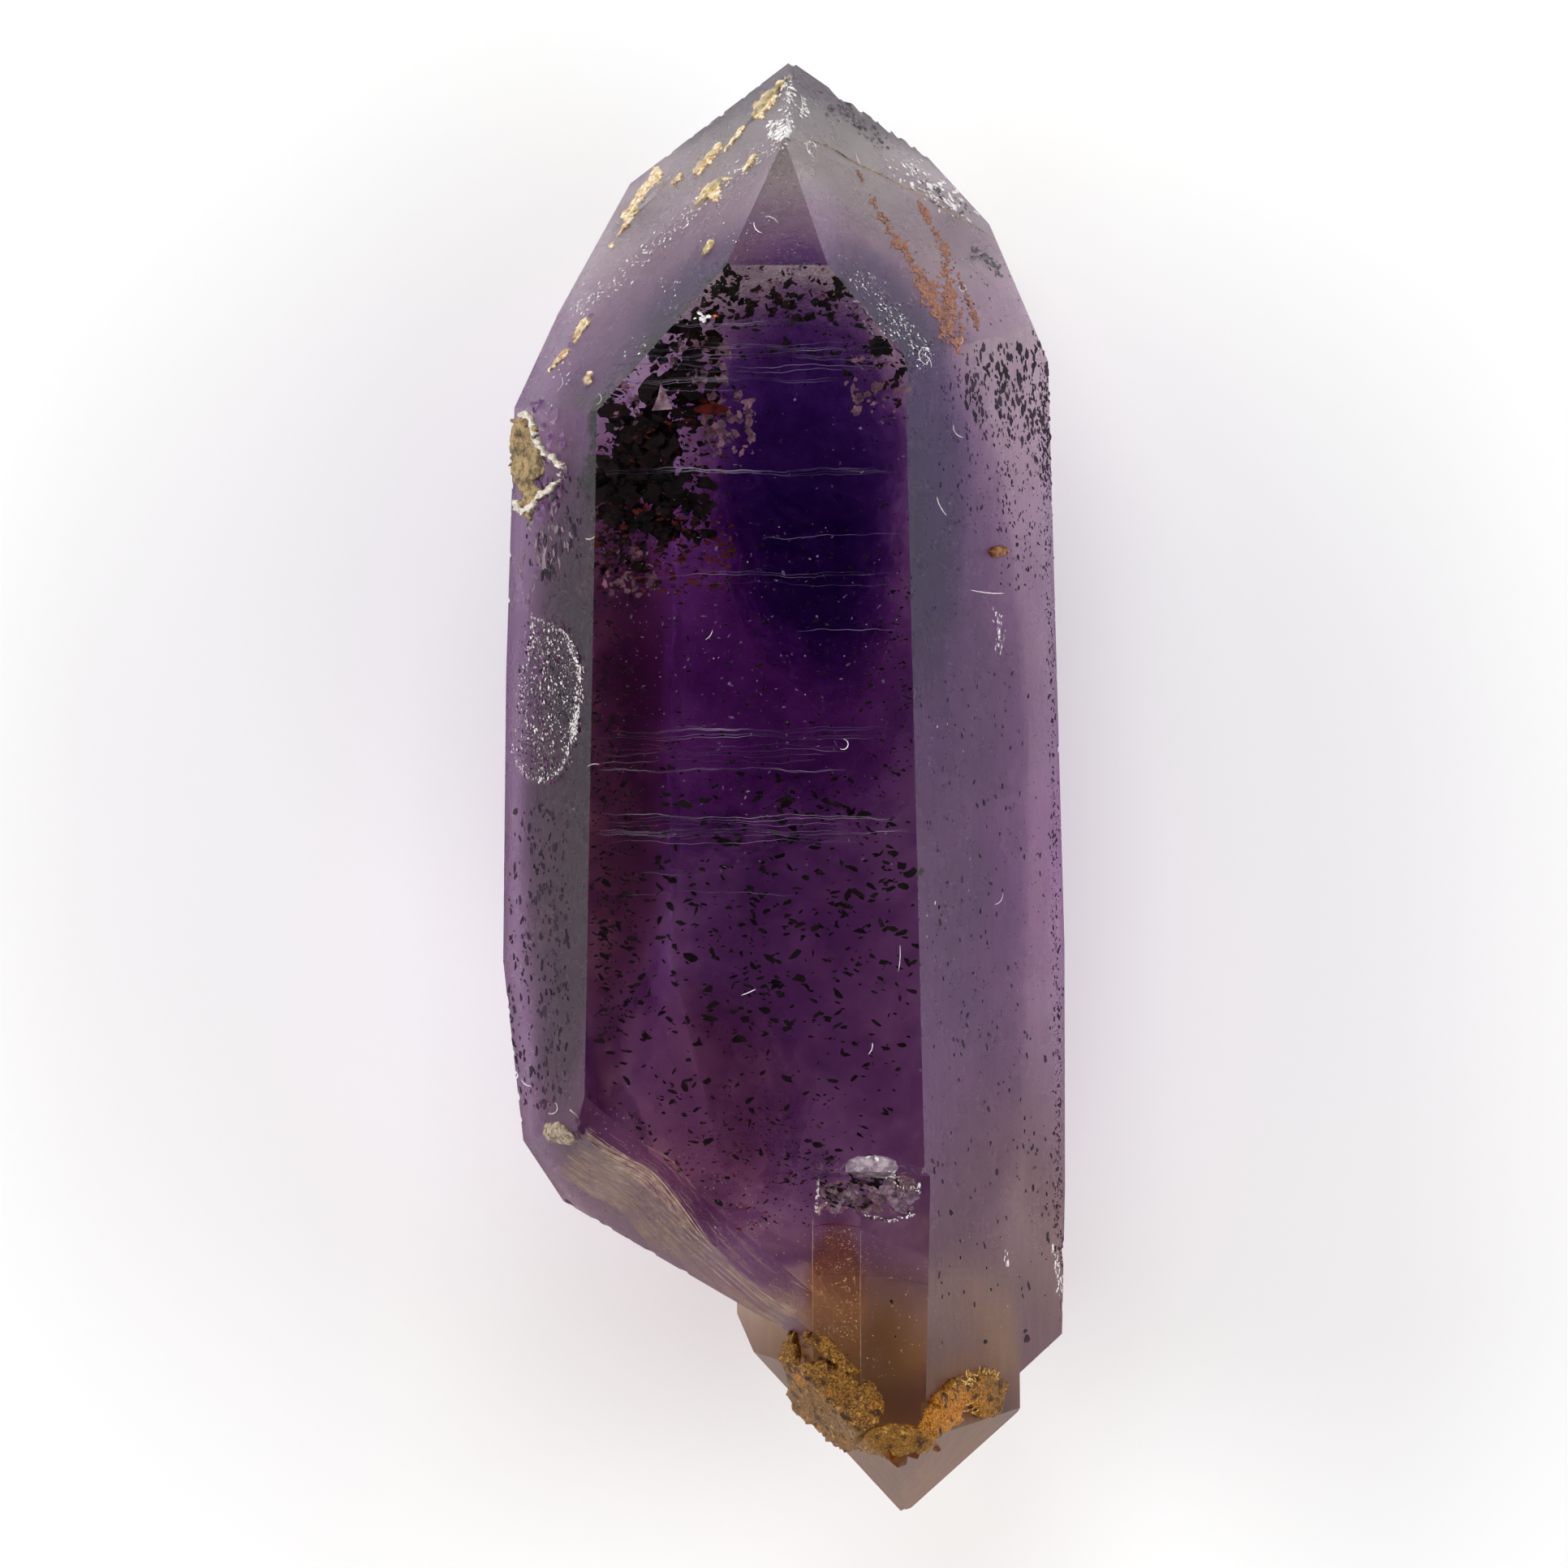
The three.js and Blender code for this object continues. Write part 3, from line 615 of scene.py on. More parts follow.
# Lines: points, spread, count, half lengths, depths.
EDGE_ROWS = [(RIGHT_EDGE, 0.08, 900, (0.025, 0.11), BARE),
             (RIGHT_EDGE[:2], 0.2, 160, (0.05, 0.2), BARE)]
FLECK = {"corners": 7, "ragged": 0.55, "narrow": (0.25, 0.6), "spin": -0.12, "spin_spread": 0.55,
         "lean": 0.45, "thickest": 0.02}
STREAKED = {**FLECK, "narrow": (0.3, 0.7), "spin": 1.75, "spin_spread": 0.45, "lean": 0.03,
            "thickest": 0.008}
veiled_oxide = oxide("veiled_oxide", (0.006, 0.003, 0.008), (0.03, 0.016, 0.03), 0.8, 0.55)
random = np.random.default_rng(3)
plate_piece("black_flecks", scattered(random, FRONT_FLECKS), black_oxide, FLECK, random, "front")
plate_piece("red_flecks", scattered(random, RED_FLECKS), red_oxide, FLECK, random, "front")
plate_piece("side_flecks", scattered(random, SIDE_FLECKS, EDGE_ROWS), veiled_oxide, STREAKED,
            random, "side")

# The black masses near the upper left of the front face: larger plates of the same oxide, grown
# together in clumps. Between them, cracks along the layers show as dim rosy windows.
MASS_PLATES = [
    (-3.1, 12.7, 1.1, 1.7, 110, (0.16, 0.6), (0.2, 1.8)),
    (-4.6, 9.2, 1.2, 1.3, 150, (0.16, 0.6), (0.2, 1.8)),
    (-3.4, 8.7, 1.2, 1.1, 90, (0.14, 0.5), (0.2, 1.4)),
    (-4.4, 10.8, 1.0, 1.0, 70, (0.25, 0.7), (0.6, 2.2)),
    (-2.2, 14.9, 1.4, 0.6, 50, (0.12, 0.4), (0.2, 1.2)),
    (0.7, 14.9, 1.1, 0.7, 44, (0.1, 0.32), (0.15, 0.7)),
    (-4.9, 7.4, 0.8, 1.0, 44, (0.1, 0.32), (0.15, 0.9)),
    (2.95, 13.45, 0.25, 0.2, 4, (0.3, 0.5), (0.06, 0.15)),
    (3.6, 12.6, 0.3, 0.3, 4, (0.2, 0.4), (0.06, 0.15)),
    (2.1, -3.4, 0.2, 0.2, 2, (0.3, 0.36), (0.3, 0.5)),
    (-1.6, 15.7, 1.0, 0.3, 10, (0.15, 0.3), (0.1, 0.5)),
]
CLUMP = {**FLECK, "corners": 11, "ragged": 0.55, "narrow": (0.4, 0.8), "spin": 0.5,
         "spin_spread": 0.9, "lean": 0.5}
plate_piece("black_masses", scattered(random, MASS_PLATES), black_oxide, CLUMP, random, "front")

WINDOWS = [
    (-2.5, 13.1, 0.9, 0.7, 60, (0.1, 0.34), (0.3, 0.9)),
    (-1.8, 11.1, 0.8, 1.0, 60, (0.1, 0.34), (0.3, 0.9)),
    (-4.9, 11.6, 0.4, 0.9, 20, (0.1, 0.3), (0.5, 0.9)),
    (-4.8, 6.6, 0.8, 0.8, 50, (0.08, 0.26), (0.4, 0.9)),
    (2.8, 12.4, 0.9, 0.9, 40, (0.08, 0.3), (0.5, 0.9)),
]
WINDOW = {**CLUMP, "narrow": (0.4, 0.8), "lean": 0.15}
rosy_crack = two_toned("rosy_crack", (0.05, 0.018, 0.036), (0.22, 0.1, 0.15),
                       {"size": 0.5, "detail": 6}, {"size": 0.15}, 0.03, 0.5)
plate_piece("rosy_windows", scattered(random, WINDOWS), rosy_crack, WINDOW, random, "front")

# Two larger cracks show as one pale triangle and one dark red oval. Just under the upper edge of
# the face sits a painted glint: small near-white plates and a spark of orange stand in for a
# highlight.
PLATE_THICKNESS = 0.01


def flat_piece(name, outline, depth, material):
    """A thin plate whose corners are given in millimetres, the depth below the face."""
    corners = np.array(outline, float)
    upper, normals = below_face(corners[:, 0], corners[:, 1], np.full(len(corners), depth))
    lower = upper - normals * PLATE_THICKNESS
    new_piece(name, np.concatenate([upper, lower]), plate_polygons(1, len(corners)), material)


pale_crack = oxide("pale_crack", (0.09, 0.05, 0.07), (0.36, 0.26, 0.3), 0.4, 0.4)
TRIANGLE = [(-4.1, 11.55), (-3.45, 11.6), (-3.6, 12.0), (-3.82, 12.4), (-3.9, 12.0)]
flat_piece("pale_triangle", TRIANGLE, 0.05, pale_crack)
blood_oxide = oxide("blood_oxide", (0.012, 0.001, 0.001), (0.07, 0.006, 0.004), 0.3, 0.3)
turn = np.linspace(0, 2 * np.pi, 15)[:-1]
RED_OVAL = np.stack([-2.25 + 0.55 * np.cos(turn), 11.6 + 0.17 * np.sin(turn)], axis=-1)
flat_piece("red_oval", RED_OVAL, 0.1, blood_oxide)
# Painted glint: plates coloured near white and orange, standing in for a highlight.
painted_white_glint = oxide("painted_white_glint", (0.5, 0.46, 0.48), (0.85, 0.82, 0.82), 0.2, 0.3)
painted_orange_glint = oxide("painted_orange_glint", (0.6, 0.12, 0.02), (0.9, 0.25, 0.04), 0.1, 0.3)
GLINT = {**FLECK, "lean": 0.05, "narrow": (0.3, 0.6), "spin_spread": 0.3}
WHITE_GLINT_PLACE = [(-2.55, 14.45, 0.24, 0.14, 11, (0.07, 0.16), BARE)]
ORANGE_GLINT_PLACE = [(-2.1, 14.5, 0.07, 0.05, 4, (0.05, 0.08), BARE)]
plate_piece("bright_glint", scattered(random, WHITE_GLINT_PLACE), painted_white_glint, GLINT, random, "front")
plate_piece("orange_glint", scattered(random, ORANGE_GLINT_PLACE), painted_orange_glint, GLINT, random, "front")
FEATHERY = [(-0.6, 4.4, 4.2, 3.4, 190, (0.03, 0.13), (0.03, 0.25)),
            (0.8, 10.4, 3.0, 1.5, 50, (0.03, 0.12), (0.03, 0.25)),
            (-0.6, -1.2, 4.6, 1.6, 80, (0.02, 0.1), (0.03, 0.25))]
grey_feather = oxide("grey_feather", (0.05, 0.035, 0.065), (0.2, 0.16, 0.24), 0.3, 0.5)
FEATHER = {**FLECK, "ragged": 0.75, "corners": 8, "spin": 0.9, "spin_spread": 1.2}
plate_piece("grey_feathers", scattered(random, FEATHERY), grey_feather, FEATHER, random, "front")

# The growth lines: hairline steps where a layer of quartz stopped on the front face. They run
# across the crystal, a little wavy, and catch the light as pale threads.
THREAD_ENDS = (0.02, 0.98)
BLUNTNESS = 0.4


def threads(paths, radii, sides):
    """Ring j of a thread is the path's point + radius times (cos t across + sin t up), where the
    radius swells from its ends as sin(pi s)^0.4."""
    count, steps, _ = paths.shape
    along = np.gradient(paths, axis=1)
    along /= np.linalg.norm(along, axis=-1, keepdims=True)
    up = np.array([0.0, 0.0, 1.0])
    across = np.cross(along, up)
    across /= np.linalg.norm(across, axis=-1, keepdims=True)
    above = np.cross(across, along)
    share = np.linspace(*THREAD_ENDS, steps)
    swell = radii[:, None] * np.sin(np.pi * share) ** BLUNTNESS
    turn = 2 * np.pi * (np.arange(sides) + 0.25) / sides
    ring = (across[:, :, None] * np.cos(turn)[:, None] + above[:, :, None] * np.sin(turn)[:, None])
    return (paths[:, :, None] + ring * swell[:, :, None, None]).reshape(-1, 3)


def thread_polygons(count, steps, sides):
    """Quads between neighbouring rings of each thread, and a cap on each end."""
    ring = np.arange(sides)
    after = np.roll(ring, -1)
    start = steps * sides * np.arange(count)[:, None, None]
    step = sides * np.arange(steps - 1)[None, :, None]
    here = start + step
    there = here + sides
    quads = np.stack([here + ring, here + after, there + after, there + ring], axis=-1)
    first = start[:, 0] + ring[::-1]
    last = start[:, 0] + (steps - 1) * sides + ring
    return quads.reshape(-1, 4).tolist() + first.tolist() + last.tolist()


def thread_piece(name, paths, radii, material, sides=3, smooth=False):
    """All the threads of the paths as one piece."""
    new_piece(name, threads(paths, np.asarray(radii), sides),
              thread_polygons(*paths.shape[:2], sides), material, smooth)


GROWTH_LINES = [
    # lowest and highest y, left end and right end, count
    (14.2, 14.75, -3.6, 1.4, 3), (12.2, 13.8, -5.2, 3.6, 11), (12.0, 13.4, -5.4, -1.2, 6),
    (9.6, 10.8, -5.5, 3.8, 5), (6.15, 6.55, -5.6, 3.6, 3),
    (4.6, 4.9, 0.4, 3.5, 1), (1.4, 1.8, -5.8, 4.0, 5), (0.4, 1.2, -5.9, 2.0, 8),
    (-1.9, -0.9, -5.9, 4.1, 8), (-1.7, -0.7, -5.9, -1.4, 6), (7.6, 8.2, -0.6, 3.8, 1),
    (-3.4, -2.6, -5.8, 0.4, 2),
]
# The waves of a line: length and height of each. The last line of a band is the shortest.
WAVES = ((5.1, 0.05), (2.1, 0.025), (0.8, 0.015), (0.3, 0.006))
SHORTEST = 0.7
SLANT = 0.006
LINE_STEPS = 60
LINE_RADIUS = (0.003, 0.006)
FRONT_HEIGHT = 2 * MIDDLE_HEIGHT


def growth_paths(random):
    """Nearly straight lines whose y wanders as a sum of sine waves of falling size."""
    rows = [(random.uniform(low, high), left + random.uniform(0, 0.5) * (right - left) * keep,
             right - random.uniform(0, 0.5) * (right - left) * keep)
            for low, high, left, right, count in GROWTH_LINES
            for keep in np.linspace(0, SHORTEST, count)]
    level, left, right = np.array(rows).T[:, :, None]
    x = left + (right - left) * np.linspace(0, 1, LINE_STEPS)
    y = level + random.normal(0, SLANT, level.shape) * (x - left)
    for length, size in WAVES:
        phase = level + random.uniform(0, 0.2, level.shape)
        y = y + size * np.sin(2 * np.pi * (x / length + phase))
    return np.stack([x, y, np.full_like(x, FRONT_HEIGHT)], axis=-1)


pale_line, tree, shader = new_material("pale_line")
glint = noise_field(tree, stretched(tree, object_place(tree), (4, 1, 1)), 0.7, low=0.38, high=0.7)
plugged(tree, shader, {"Base Color": mixed(tree, glint, (0.02, 0.01, 0.03), (0.3, 0.26, 0.34)),
                       "Roughness": 0.4})
random = np.random.default_rng(11)
paths = growth_paths(random)
thread_piece("growth_lines", paths, random.uniform(*LINE_RADIUS, len(paths)), pale_line)

# The crusts: iron oxide and fine quartz that grew on the faces as thin uneven sheets. The gold
# flakes lie on the upper left faces, the brown one on the left edge has a white rim.
LATTICE = 64
LATTICE_START = (31.7, 17.3)
OCTAVES = 3


def soft_lattice(x, y, size, seed):
    """Value noise: random numbers on a square lattice, joined by the curve 3 t^2 - 2 t^3."""
    table = np.random.default_rng(seed).uniform(0, 1, (LATTICE, LATTICE))
    u, v = x / size + LATTICE_START[0], y / size + LATTICE_START[1]
    i, j = np.floor(u).astype(int), np.floor(v).astype(int)
    s, t = u - i, v - j
    s, t = s * s * (3 - 2 * s), t * t * (3 - 2 * t)
    i, j, right, up = (number % LATTICE for number in (i, j, i + 1, j + 1))
    a, b, c, d = table[i, j], table[right, j], table[i, up], table[right, up]
    return (a * (1 - s) + b * s) * (1 - t) + (c * (1 - s) + d * s) * t


def clouds(x, y, size, seed):
    """Octaves of value noise, from 0 to 1 in all, each half as large and half as strong."""
    total = sum(soft_lattice(x, y, size / 2 ** k, seed + k) / 2 ** k for k in range(OCTAVES))
    return total / sum(1 / 2 ** k for k in range(OCTAVES))


def sheet_between(upper, under, kept):
    """A closed thin body from two grids of points: the cells whose four corners are kept, above
    and below, and a wall round every edge of them."""
    rows, columns = kept.shape
    cells = kept[:-1, :-1] & kept[1:, :-1] & kept[:-1, 1:] & kept[1:, 1:]
    number = np.arange(rows * columns).reshape(rows, columns)
    a, b, c, d = number[:-1, :-1], number[:-1, 1:], number[1:, 1:], number[1:, :-1]
    below = rows * columns
    polygons = [np.stack([a, b, c, d], -1)[cells], np.stack([d, c, b, a], -1)[cells] + below]
    padded = np.pad(cells, 1)
    for (start, end), beside in (((a, b), padded[:-2, 1:-1]), ((b, c), padded[1:-1, 2:]),
                                 ((c, d), padded[2:, 1:-1]), ((d, a), padded[1:-1, :-2])):
        start, end = start[cells & ~beside], end[cells & ~beside]
        polygons.append(np.stack([start + below, end + below, end, start], -1))
    polygons = np.concatenate(polygons)
    used, polygons = np.unique(polygons, return_inverse=True)
    points = np.concatenate([upper.reshape(-1, 3), under.reshape(-1, 3)])[used]
    return points, polygons.reshape(-1, 4).tolist()


# How far the under sheet lies inside the face, and how soon the upper one rises from its rim.
SUNK = 0.03
STEEPNESS = 4


def crust_on_face(corner, size, cell, inside, thickness):
    """The grid over a rectangle in plan, laid on the crystal's surface. The upper sheet stands
    the thickness out along the face's normal, the under sheet is just inside the face."""
    x, y = np.meshgrid(np.arange(corner[0], corner[0] + size[0], cell),
                       np.arange(corner[1], corner[1] + size[1], cell))
    height, normal = crystal_face(x, y)
    ground = np.stack([x, y, height], axis=-1)
    depth = inside(x, y)
    swell = thickness(x, y) * np.clip(depth * STEEPNESS, 0, 1) ** 0.5
    return sheet_between(ground + normal * swell[..., None], ground - normal * SUNK, depth > 0)


def crust_piece(name, material, *grid, smooth=True):
    """One crust as a piece; the grid is what crust_on_face asks for."""
    new_piece(name, *crust_on_face(*grid), material, smooth)


RIM_CLOUDS = 0.35
PATH_STEPS = 120


def oval(x, y, middle, half, spin, ragged, seed):
    """Above 0 inside an oval turned by spin degrees, its rim pushed in and out by clouds."""
    turn = np.radians(spin)
    u, v = x - middle[0], y - middle[1]
    u, v = u * np.cos(turn) + v * np.sin(turn), v * np.cos(turn) - u * np.sin(turn)
    out = np.hypot(u / half[0], v / half[1])
    return 1 - out + ragged * (clouds(x, y, RIM_CLOUDS, seed) - 0.5)


def crust_material(name, dark, light, size, roughness, depth):
    """A crust of two colours in clouds, with grains of the given size in millimetres."""
    return two_toned(name, dark, light,
                     {"size": size, "detail": 6, "roughness": 0.7, "low": 0.38, "high": 0.62},
                     {"size": size * 0.25, "detail": 5, "low": 0.2, "high": 0.8},
                     depth, roughness, 0.25)


def joined(pieces):
    """Several bodies as one: their points one after another, their corner numbers moved on."""
    starts = np.cumsum([0] + [len(points) for points, _ in pieces])
    polygons = [[corner + int(start) for corner in polygon]
                for (_, body), start in zip(pieces, starts) for polygon in body]
    return np.concatenate([points for points, _ in pieces]), polygons


gold_crust = crust_material("gold_crust", (0.44, 0.24, 0.08), (0.93, 0.83, 0.6), 0.16, 0.5, 0.02)
GOLD_FLAKES = [
    # middle, half sizes, turn
    ((-0.55, 21.2), (0.24, 0.95), -38), ((-2.4, 19.35), (0.2, 0.72), -36),
    ((-2.3, 18.35), (0.3, 0.8), -44), ((-2.35, 16.6), (0.15, 0.42), -30),
    ((-3.35, 18.75), (0.13, 0.36), -40), ((-4.3, 18.5), (0.24, 1.3), -36),
    ((-5.0, 17.3), (0.12, 0.7), -34), ((-6.3, 14.1), (0.16, 0.66), -30),
    ((-6.95, 13.2), (0.1, 0.42), -40), ((-6.05, 12.5), (0.19, 0.26), -20),
    ((-1.5, 20.1), (0.1, 0.5), -38), ((-1.1, 19.2), (0.1, 0.45), -42),
]
pieces = []
for k, (middle, half, spin) in enumerate(GOLD_FLAKES):
    reach = max(half) * 1.2
    pieces.append(crust_on_face(
        (middle[0] - reach, middle[1] - reach), (2 * reach, 2 * reach), 0.03,
        lambda x, y: (oval(x, y, middle, half, spin, 1.5, 30 + k)
                      - 0.35 * soft_lattice(x, y, 0.1, 90 + k)),
        lambda x, y: 0.02 + 0.08 * clouds(x, y, 0.2, 70 + k)))
new_piece("gold_flakes", *joined(pieces), gold_crust, smooth=True)


def along_path(x, y, path):
    """Above 0 near a path of points with half widths: 1 - distance / half width there."""
    share = np.linspace(0, len(path) - 1, PATH_STEPS)
    px, py, pw = (np.interp(share, np.arange(len(path)), row) for row in np.asarray(path).T)
    out = np.hypot(x[..., None] - px, y[..., None] - py) / pw
    return 1 - out.min(axis=-1)


# The crust on the left edge: a golden brown tongue of iron oxide under a thin flap of quartz,
# whose broken rim is white.
brown_crust = crust_material("brown_crust", (0.09, 0.06, 0.035), (0.42, 0.29, 0.13), 0.35, 0.6,
                             0.05)
cream_rim = crust_material("cream_rim", (0.5, 0.42, 0.34), (0.9, 0.85, 0.76), 0.15, 0.55, 0.03)
CRUST_CORNER, CRUST_SIZE = (-8.8, 8.1), (2.4, 4.0)
CRUST_RIM = [
    (-8.12, 11.5, 0.12), (-7.8, 11.3, 0.14), (-7.62, 10.6, 0.08), (-7.4, 10.27, 0.09),
    (-7.13, 10.12, 0.1), (-6.8, 9.72, 0.09), (-6.96, 9.31, 0.07), (-7.46, 8.99, 0.1),
    (-7.79, 8.63, 0.08), (-8.0, 8.5, 0.13), (-8.3, 8.66, 0.13),
]
crust_piece("left_crust", brown_crust, CRUST_CORNER, CRUST_SIZE, 0.03,
            lambda x, y: oval(x, y, (-8.0, 10.1), (0.48, 1.5), 8, 1.1, 40),
            lambda x, y: 0.04 + 0.2 * clouds(x, y, 0.3, 41) ** 1.5)
crust_piece("left_crust_rim", cream_rim, CRUST_CORNER, CRUST_SIZE, 0.025,
            lambda x, y: along_path(x, y, CRUST_RIM) + 3.2 * (clouds(x, y, 0.14, 43) - 0.55),
            lambda x, y: 0.08 + 0.14 * clouds(x, y, 0.15, 42))

# The ochre crust round the lower tip: sheets and lumps of iron oxide, broad and brown on the left,
# a smooth olive lobe in the middle, orange on the right, and a bundle of golden curls at the end.
OCHRE_PATCHES = [
    # middle, half sizes, turn
    ((0.38, -17.9), (0.24, 0.95), 8), ((1.5, -17.6), (0.3, 1.1), 50),
    ((1.35, -18.7), (0.95, 1.1), 35), ((2.2, -19.35), (0.9, 0.9), 30),
    ((1.9, -19.6), (0.6, 1.0), 40), ((0.9, -19.1), (0.5, 0.9), 40),
    ((1.75, -20.0), (0.45, 0.9), 45),
    ((4.6, -19.8), (0.5, 0.85), -50), ((5.15, -19.0), (0.5, 0.75), -35),
    ((6.15, -18.85), (0.66, 0.75), 0),
]
OLIVE_LOBE = ((3.45, -20.3), (1.15, 0.52), 0)


def ochre_field(x, y):
    """The largest of the patches' ovals, its rim and its thin places broken up by clouds, and the
    lobe with its even rim."""
    patches = [oval(x, y, middle, half, spin, 0, 0) for middle, half, spin in OCHRE_PATCHES]
    return np.maximum(np.maximum.reduce(patches) + 0.8 * (clouds(x, y, 0.5, 50) - 0.5)
                      + 0.3 * (clouds(x, y, 0.12, 52) - 0.5), oval(x, y, *OLIVE_LOBE, 0.25, 53))


ochre, tree, shader = new_material("ochre")
place = object_place(tree)
grain = noise_field(tree, place, 0.07, detail=3, roughness=0.7, low=0.38, high=0.62)
earth = mixed(tree, grain, (0.07, 0.026, 0.004), (0.3, 0.135, 0.022))
orange = patch_field(tree, place, (5.0, -19.5, 11), (1.2, 0.9, 6), 0.5)
orange = maximum(tree, orange, noise_field(tree, place, 1.1, low=0.58, high=0.7))
earth = mixed(tree, orange, earth, mixed(tree, grain, (0.18, 0.055, 0.004), (0.52, 0.21, 0.022)))
olive = patch_field(tree, place, (3.3, -20.5, 11), (1.5, 0.6, 6), 0.3)
earth = mixed(tree, olive, earth, mixed(tree, grain, (0.13, 0.055, 0.008), (0.28, 0.13, 0.022)))
earth = mixed(tree, noise_field(tree, place, 0.4, detail=6, low=0.52, high=0.66), earth,
              (0.045, 0.017, 0.006))
earth = mixed(tree, noise_field(tree, place, 0.16, detail=5, low=0.58, high=0.7), earth,
              (0.52, 0.28, 0.06))
plugged(tree, shader, {"Base Color": earth, "Roughness": 0.45, "Specular IOR Level": 0.15})
bumped(tree, shader, noise_field(tree, place, 0.1, detail=5, low=0.2, high=0.8), 0.05)
crust_piece("ochre_crust", ochre, (-0.2, -22.0), (7.4, 5.8), 0.03, ochre_field,
            lambda x, y: 0.14 + 0.28 * clouds(x, y, 0.5, 51) ** 1.5 + 0.1 * clouds(x, y, 0.12, 54))

# What the upper end carries: rust that ran down the right facet, chipped white ridges whose
# white is partly painted highlight, a fine brown line where two facets meet, and crushed scales
# on the outer edges.
def on_face(places, depth):
    """Places (x, y) carried straight up onto the crystal's surface, the depth below it."""
    points, _ = below_face(places[..., 0], places[..., 1], np.full(places.shape[:-1], depth))
    return points


RUST_STREAKS = [
    # points and half widths
    [(2.27, 19.1, 0.07), (2.7, 18.2, 0.12), (3.18, 17.33, 0.2), (3.71, 16.65, 0.22),
     (4.21, 15.87, 0.28), (4.64, 15.0, 0.36), (5.07, 14.15, 0.4), (5.3, 13.6, 0.2)],
    [(4.21, 18.11, 0.1), (4.46, 17.6, 0.13), (4.77, 17.0, 0.14), (4.98, 16.57, 0.3),
     (5.07, 15.87, 0.38), (5.24, 14.94, 0.46), (5.33, 14.0, 0.36), (5.4, 13.4, 0.14)],
    [(5.4, 15.8, 0.1), (5.6, 15.36, 0.16), (5.93, 14.5, 0.14), (6.0, 14.1, 0.08)],
]


def rust_field(x, y):
    """Inside the streaks, less where fine clouds of two sizes wear holes in the film."""
    streaks = [along_path(x, y, path) for path in RUST_STREAKS]
    return (np.maximum.reduce(streaks) + 2.6 * (clouds(x, y, 0.08, 60) - 0.6)
            + 1.5 * (clouds(x, y, 0.4, 61) - 0.56))


rust, tree, shader = new_material("rust")
place = object_place(tree)
grain = noise_field(tree, place, 0.08, detail=5, low=0.38, high=0.62)
stain = mixed(tree, grain, (0.15, 0.045, 0.02), (0.36, 0.15, 0.085))
stain = mixed(tree, noise_field(tree, place, 0.3, low=0.52, high=0.7), stain, (0.1, 0.022, 0.012))
plugged(tree, shader, {"Base Color": stain, "Roughness": 0.6})
bumped(tree, shader, noise_field(tree, place, 0.06), 0.02)
crust_piece("rust_streaks", rust, (1.8, 12.9), (4.7, 6.6), 0.026, rust_field,
            lambda x, y: 0.008 + 0.02 * clouds(x, y, 0.1, 62), smooth=False)

BROWN_LINE = [(0.45, 19.95), (0.78, 19.97), (1.39, 19.8), (2.14, 19.35), (3.18, 18.87),
              (4.21, 18.36), (5.24, 17.73), (5.92, 17.38), (6.6, 16.95)]


def drawn_line(line, steps):
    """A smooth path of many steps through a few chosen places, by cubic blending of them."""
    line = np.asarray(line, float)
    share = np.linspace(0, len(line) - 1.001, steps)
    first = share.astype(int)
    t = (share - first)[:, None]
    row = [line[np.clip(first + k, 0, len(line) - 1)] for k in (-1, 0, 1, 2)]
    bend = (row[2] - row[0], 2 * row[0] - 5 * row[1] + 4 * row[2] - row[3],
            3 * row[1] - row[0] - 3 * row[2] + row[3])
    return row[1] + 0.5 * (bend[0] * t + bend[1] * t ** 2 + bend[2] * t ** 3)


brown_seam = crust_material("brown_seam", (0.06, 0.045, 0.04), (0.4, 0.3, 0.2), 0.6, 0.5, 0.01)
thread_piece("brown_line", on_face(drawn_line(BROWN_LINE, 90), -0.005)[None], [0.032], brown_seam)

LEFT_RIDGE = [(0, 20.0), (-1.6, 18.9), (-3.4, 17.3), (-5.1, 15.8), (-6.6, 14.6)]
SLANTED_EDGE = [(2.0, 15.9), (2.7, 15.4), (3.5, 14.4), (4.2, 13.5), (4.5, 13.1)]
TOP_RIDGE = [(0.05, 20.1), (0.15, 21.2), (0.18, 21.9)]
# These pieces stand a little way out of the faces.
PROUD = (-0.022, -0.01)
CHIP = {"corners": 5, "ragged": 0.5, "narrow": (0.25, 0.7), "spin": -0.7, "spin_spread": 0.9,
        "lean": 0.08, "thickest": 0.014}
SCALE = {**CHIP, "corners": 9, "ragged": 0.3, "narrow": (0.5, 0.9), "lean": 0.5, "thickest": 0.03}
# White chipped quartz, partly painted highlight: its bright white also stands in for light off
# broken faces.
white_quartz_highlight = crust_material("white_quartz_highlight", (0.5, 0.47, 0.48), (0.95, 0.93, 0.92), 0.1, 0.45,
                              0.01)
WHITE_CHIPS = [
    (-0.18, 20.3, 0.34, 0.3, 150, (0.05, 0.2), PROUD),
    (0.62, 21.0, 0.12, 0.35, 18, (0.06, 0.17), PROUD),
    (0.8, 19.8, 0.2, 0.3, 26, (0.03, 0.1), PROUD),
    (-3.4, 15.2, 0.5, 0.5, 20, (0.02, 0.09), PROUD),
    (-4.6, 13.6, 0.4, 0.5, 20, (0.02, 0.09), PROUD),
    (-7.0, 12.7, 0.4, 0.6, 22, (0.02, 0.1), PROUD),
    (3.3, 14.3, 0.5, 0.6, 60, (0.02, 0.08), PROUD),
    (-1.9, 17.6, 0.9, 0.9, 90, (0.015, 0.06), PROUD),
]
CHIPPED_RIDGES = [
    (LEFT_RIDGE, 0.16, 460, (0.02, 0.1), PROUD),
    (TOP_RIDGE, 0.1, 160, (0.02, 0.15), PROUD),
    (SLANTED_EDGE, 0.2, 210, (0.02, 0.09), PROUD),
    ([(3.6, 19.3), (5.6, 17.9)], 0.2, 110, (0.06, 0.22), PROUD),
]
random = np.random.default_rng(21)
plate_piece("white_chips", scattered(random, WHITE_CHIPS, CHIPPED_RIDGES), white_quartz_highlight, CHIP,
            random)
